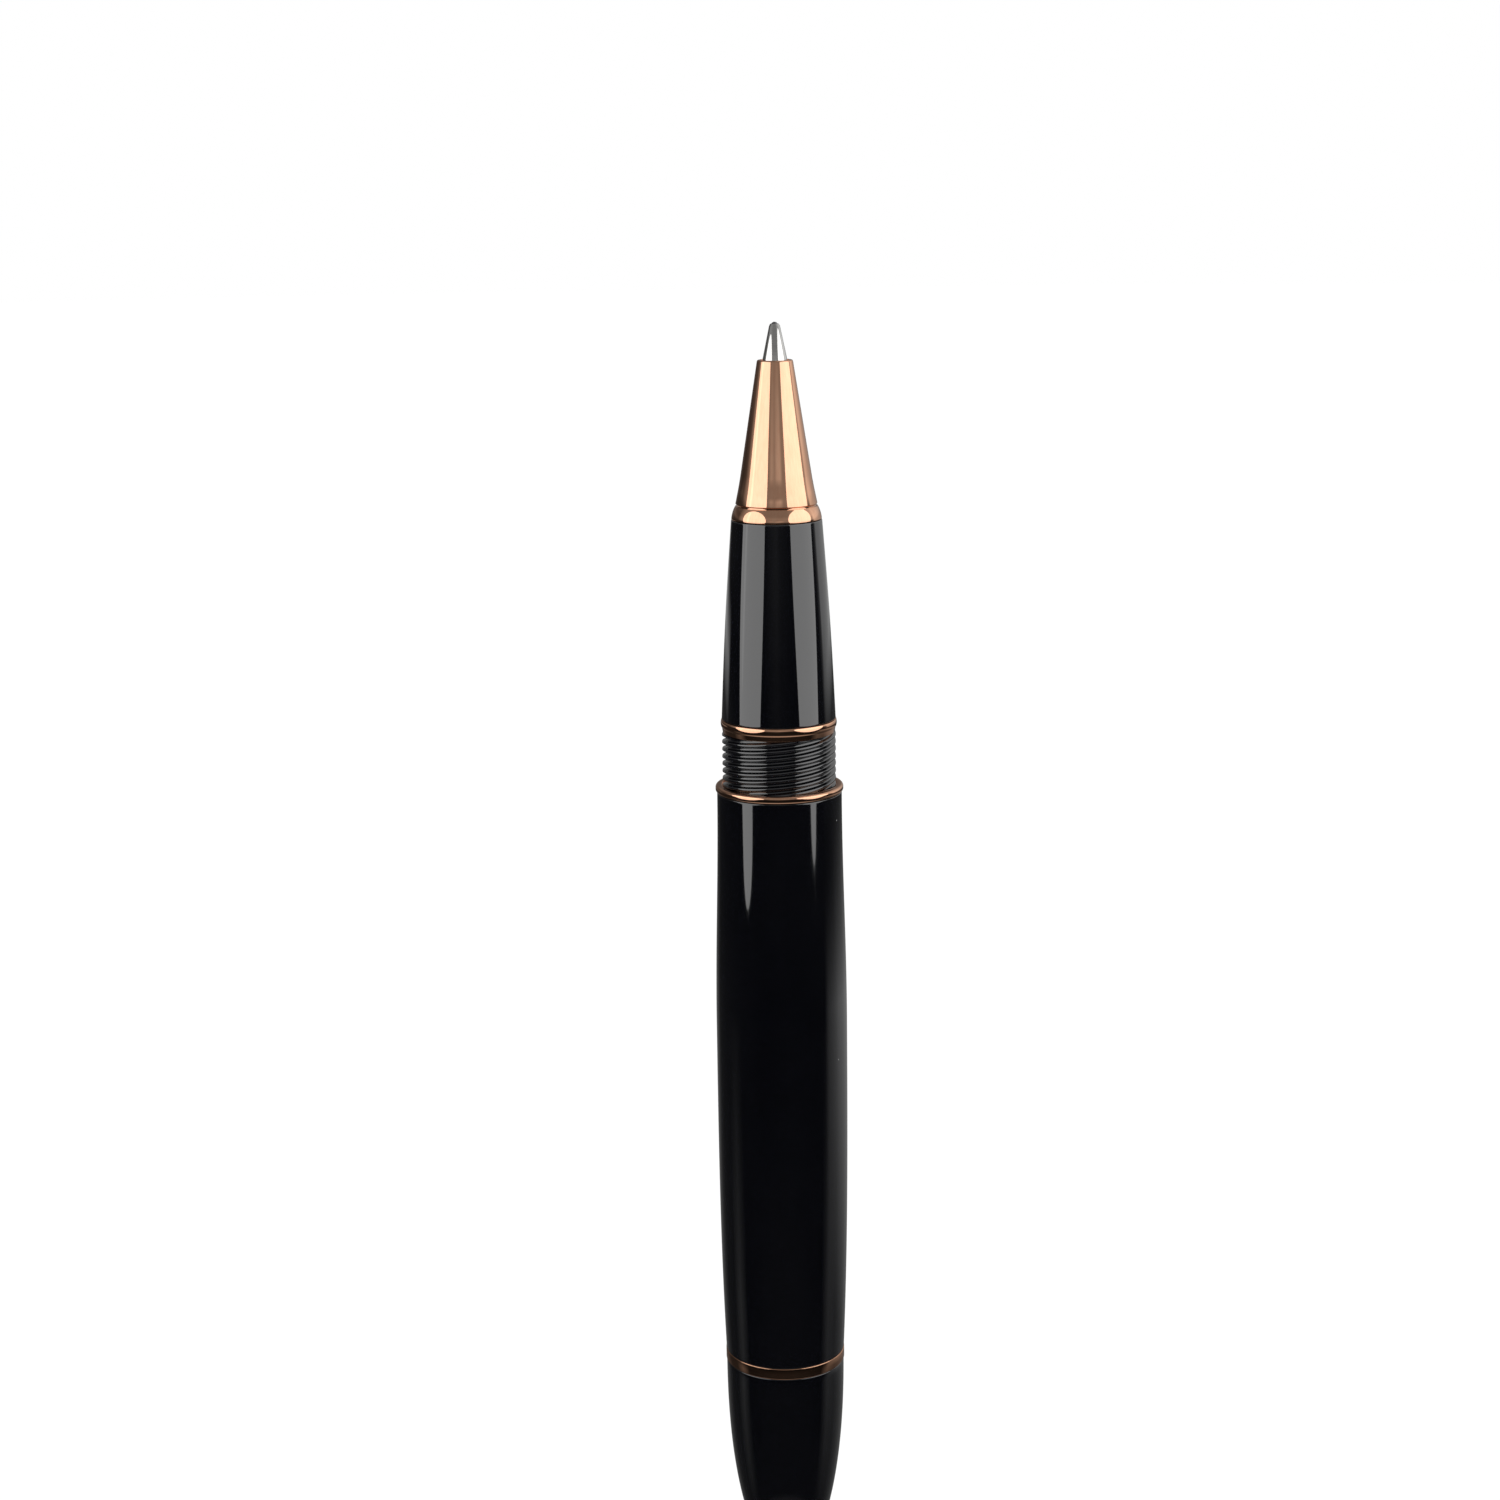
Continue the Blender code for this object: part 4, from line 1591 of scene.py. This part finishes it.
    def build_world(self) -> None:
        """White to the camera, a dark room with a bright back to reflections, and even fill light."""
        world = bpy.data.worlds.new("studio")
        bpy.context.scene.world = world
        world.use_nodes = True
        sheet = NodeSheet(world.node_tree)
        ray = sheet.add("ShaderNodeLightPath")
        place = sheet.add("ShaderNodeTexCoord")
        axes = sheet.add("ShaderNodeSeparateXYZ")
        sheet.put(axes.inputs[0], place.outputs["Object"])
        towards = sheet.maths("MULTIPLY", axes.outputs["Y"], -1.0)
        turn = sheet.maths("ARCTAN2", axes.outputs["X"], towards)
        azimuth = sheet.maths("MULTIPLY", turn, math.degrees(1.0))
        below, levels = self.ROOM[0]
        reflected = self.panorama(sheet, azimuth, levels)
        for elevation, levels in self.ROOM[1:]:
            edges = [math.sin(math.radians(angle)) for angle in (below, elevation)]
            risen = sheet.ranged(axes.outputs["Z"], *edges, 0.0, 1.0)
            reflected = sheet.mixed(risen, reflected, self.panorama(sheet, azimuth, levels))
            below = elevation
        lit = sheet.mixed(ray.outputs["Is Glossy Ray"], (self.fill,) * 3, reflected)
        background = sheet.add("ShaderNodeBackground")
        sheet.put(background.inputs["Color"], sheet.mixed(sheet.seen(), lit, WHITE))
        output = sheet.add("ShaderNodeOutputWorld")
        sheet.put(output.inputs["Surface"], background.outputs[0])

    def build_floor(self) -> None:
        """A wide pale disc under the tail, which glows to white for the camera and keeps a shadow."""
        shape = bmesh.new()
        under = Matrix.Translation((0.0, 0.0, Room.of("tail_cone").bottom * MM))
        bmesh.ops.create_circle(
            shape,
            cap_ends=True,
            segments=self.floor_sides,
            radius=self.floor_radius * MM,
            matrix=under,
        )
        floor = to_piece("floor_paper", shape)
        floor.data.materials.append(self.floor_material())
        floor.visible_glossy = False
        floor.visible_shadow = False

    def floor_material(self) -> bpy.types.Material:
        """Matt paper with a faint mottle.

        Returns:
            The material.
        """
        material = bpy.data.materials.new("floor_paper")
        material.use_nodes = True
        sheet = NodeSheet(material.node_tree)
        clouds = sheet.noise((self.mottle_cells,) * 3, self.mottle_detail)
        mottle = sheet.ranged(clouds, *self.mottle_range, 0.0, 1.0)
        paper = sheet.add("ShaderNodeBsdfDiffuse")
        sheet.put(paper.inputs["Color"], sheet.mixed(mottle, self.floor_colour, self.floor_shade))
        glow = sheet.add("ShaderNodeEmission")
        sheet.put(glow.inputs["Color"], (*WHITE, 1.0))
        sheet.put(glow.inputs["Strength"], self.glow_strength)
        mix = sheet.add("ShaderNodeMixShader")
        sheet.put(mix.inputs[0], sheet.maths("MULTIPLY", sheet.seen(), self.floor_glow))
        sheet.put(mix.inputs[1], paper.outputs[0])
        sheet.put(mix.inputs[2], glow.outputs[0])
        output = sheet.add("ShaderNodeOutputMaterial")
        sheet.put(output.inputs["Surface"], mix.outputs[0])
        return material


@dataclass
class PhotoCamera:
    """The camera at the photograph's viewing angle.

    Attributes:
        lens: Focal length for the sensor's width.
        sensor: Width of the sensor.
        target: Point in the middle of the picture.
        distance: Distance from that point.
        elevation: Degrees that the camera looks down.
        roll: Degrees that the camera is turned about its own axis.
        nearest: Distance from which it sees.
        farthest: Distance up to which it sees.
    """

    lens: float = 64.8
    sensor: float = 36.0
    target: tuple[float, float, float] = (-2.83, 0.0, 31.7)
    distance: float = 263.4
    elevation: float = 12.2
    roll: float = -0.74
    nearest: float = 10.0
    farthest: float = 20000.0

    def build(self) -> None:
        """Place the camera and make it the scene's own."""
        lens = bpy.data.cameras.new("photo_camera")
        lens.lens = self.lens
        lens.sensor_width = self.sensor
        lens.sensor_fit = "HORIZONTAL"
        lens.clip_start = self.nearest * MM
        lens.clip_end = self.farthest * MM
        camera = bpy.data.objects.new("photo_camera", lens)
        towards = direction(0.0, self.elevation)
        place = Vector(self.target) * MM + towards * self.distance * MM
        turn = towards.to_track_quat("Z", "Y").to_matrix().to_4x4()
        roll = Matrix.Rotation(math.radians(self.roll), 4, "Z")
        camera.matrix_world = Matrix.Translation(place) @ turn @ roll
        bpy.context.scene.collection.objects.link(camera)
        bpy.context.scene.camera = camera


def main() -> None:
    """Build and dress every piece, then set the stage and the camera."""
    logging.basicConfig(level=logging.INFO, format="%(name)s: %(message)s")
    assemblies = (
        WritingPoint(),
        NoseCone(),
        GripSection(),
        SectionRing(),
        CapCollar(),
        Barrel(),
        Tail(),
        Refill(),
        ReturnSpring(),
    )
    for assembly in assemblies:
        for piece in assembly.build():
            LOG.info("%s: %d faces, on %s", piece.name, len(piece.data.polygons), piece["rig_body"])
    Studio().build()
    PhotoCamera().build()


if __name__ == "__main__":
    main()
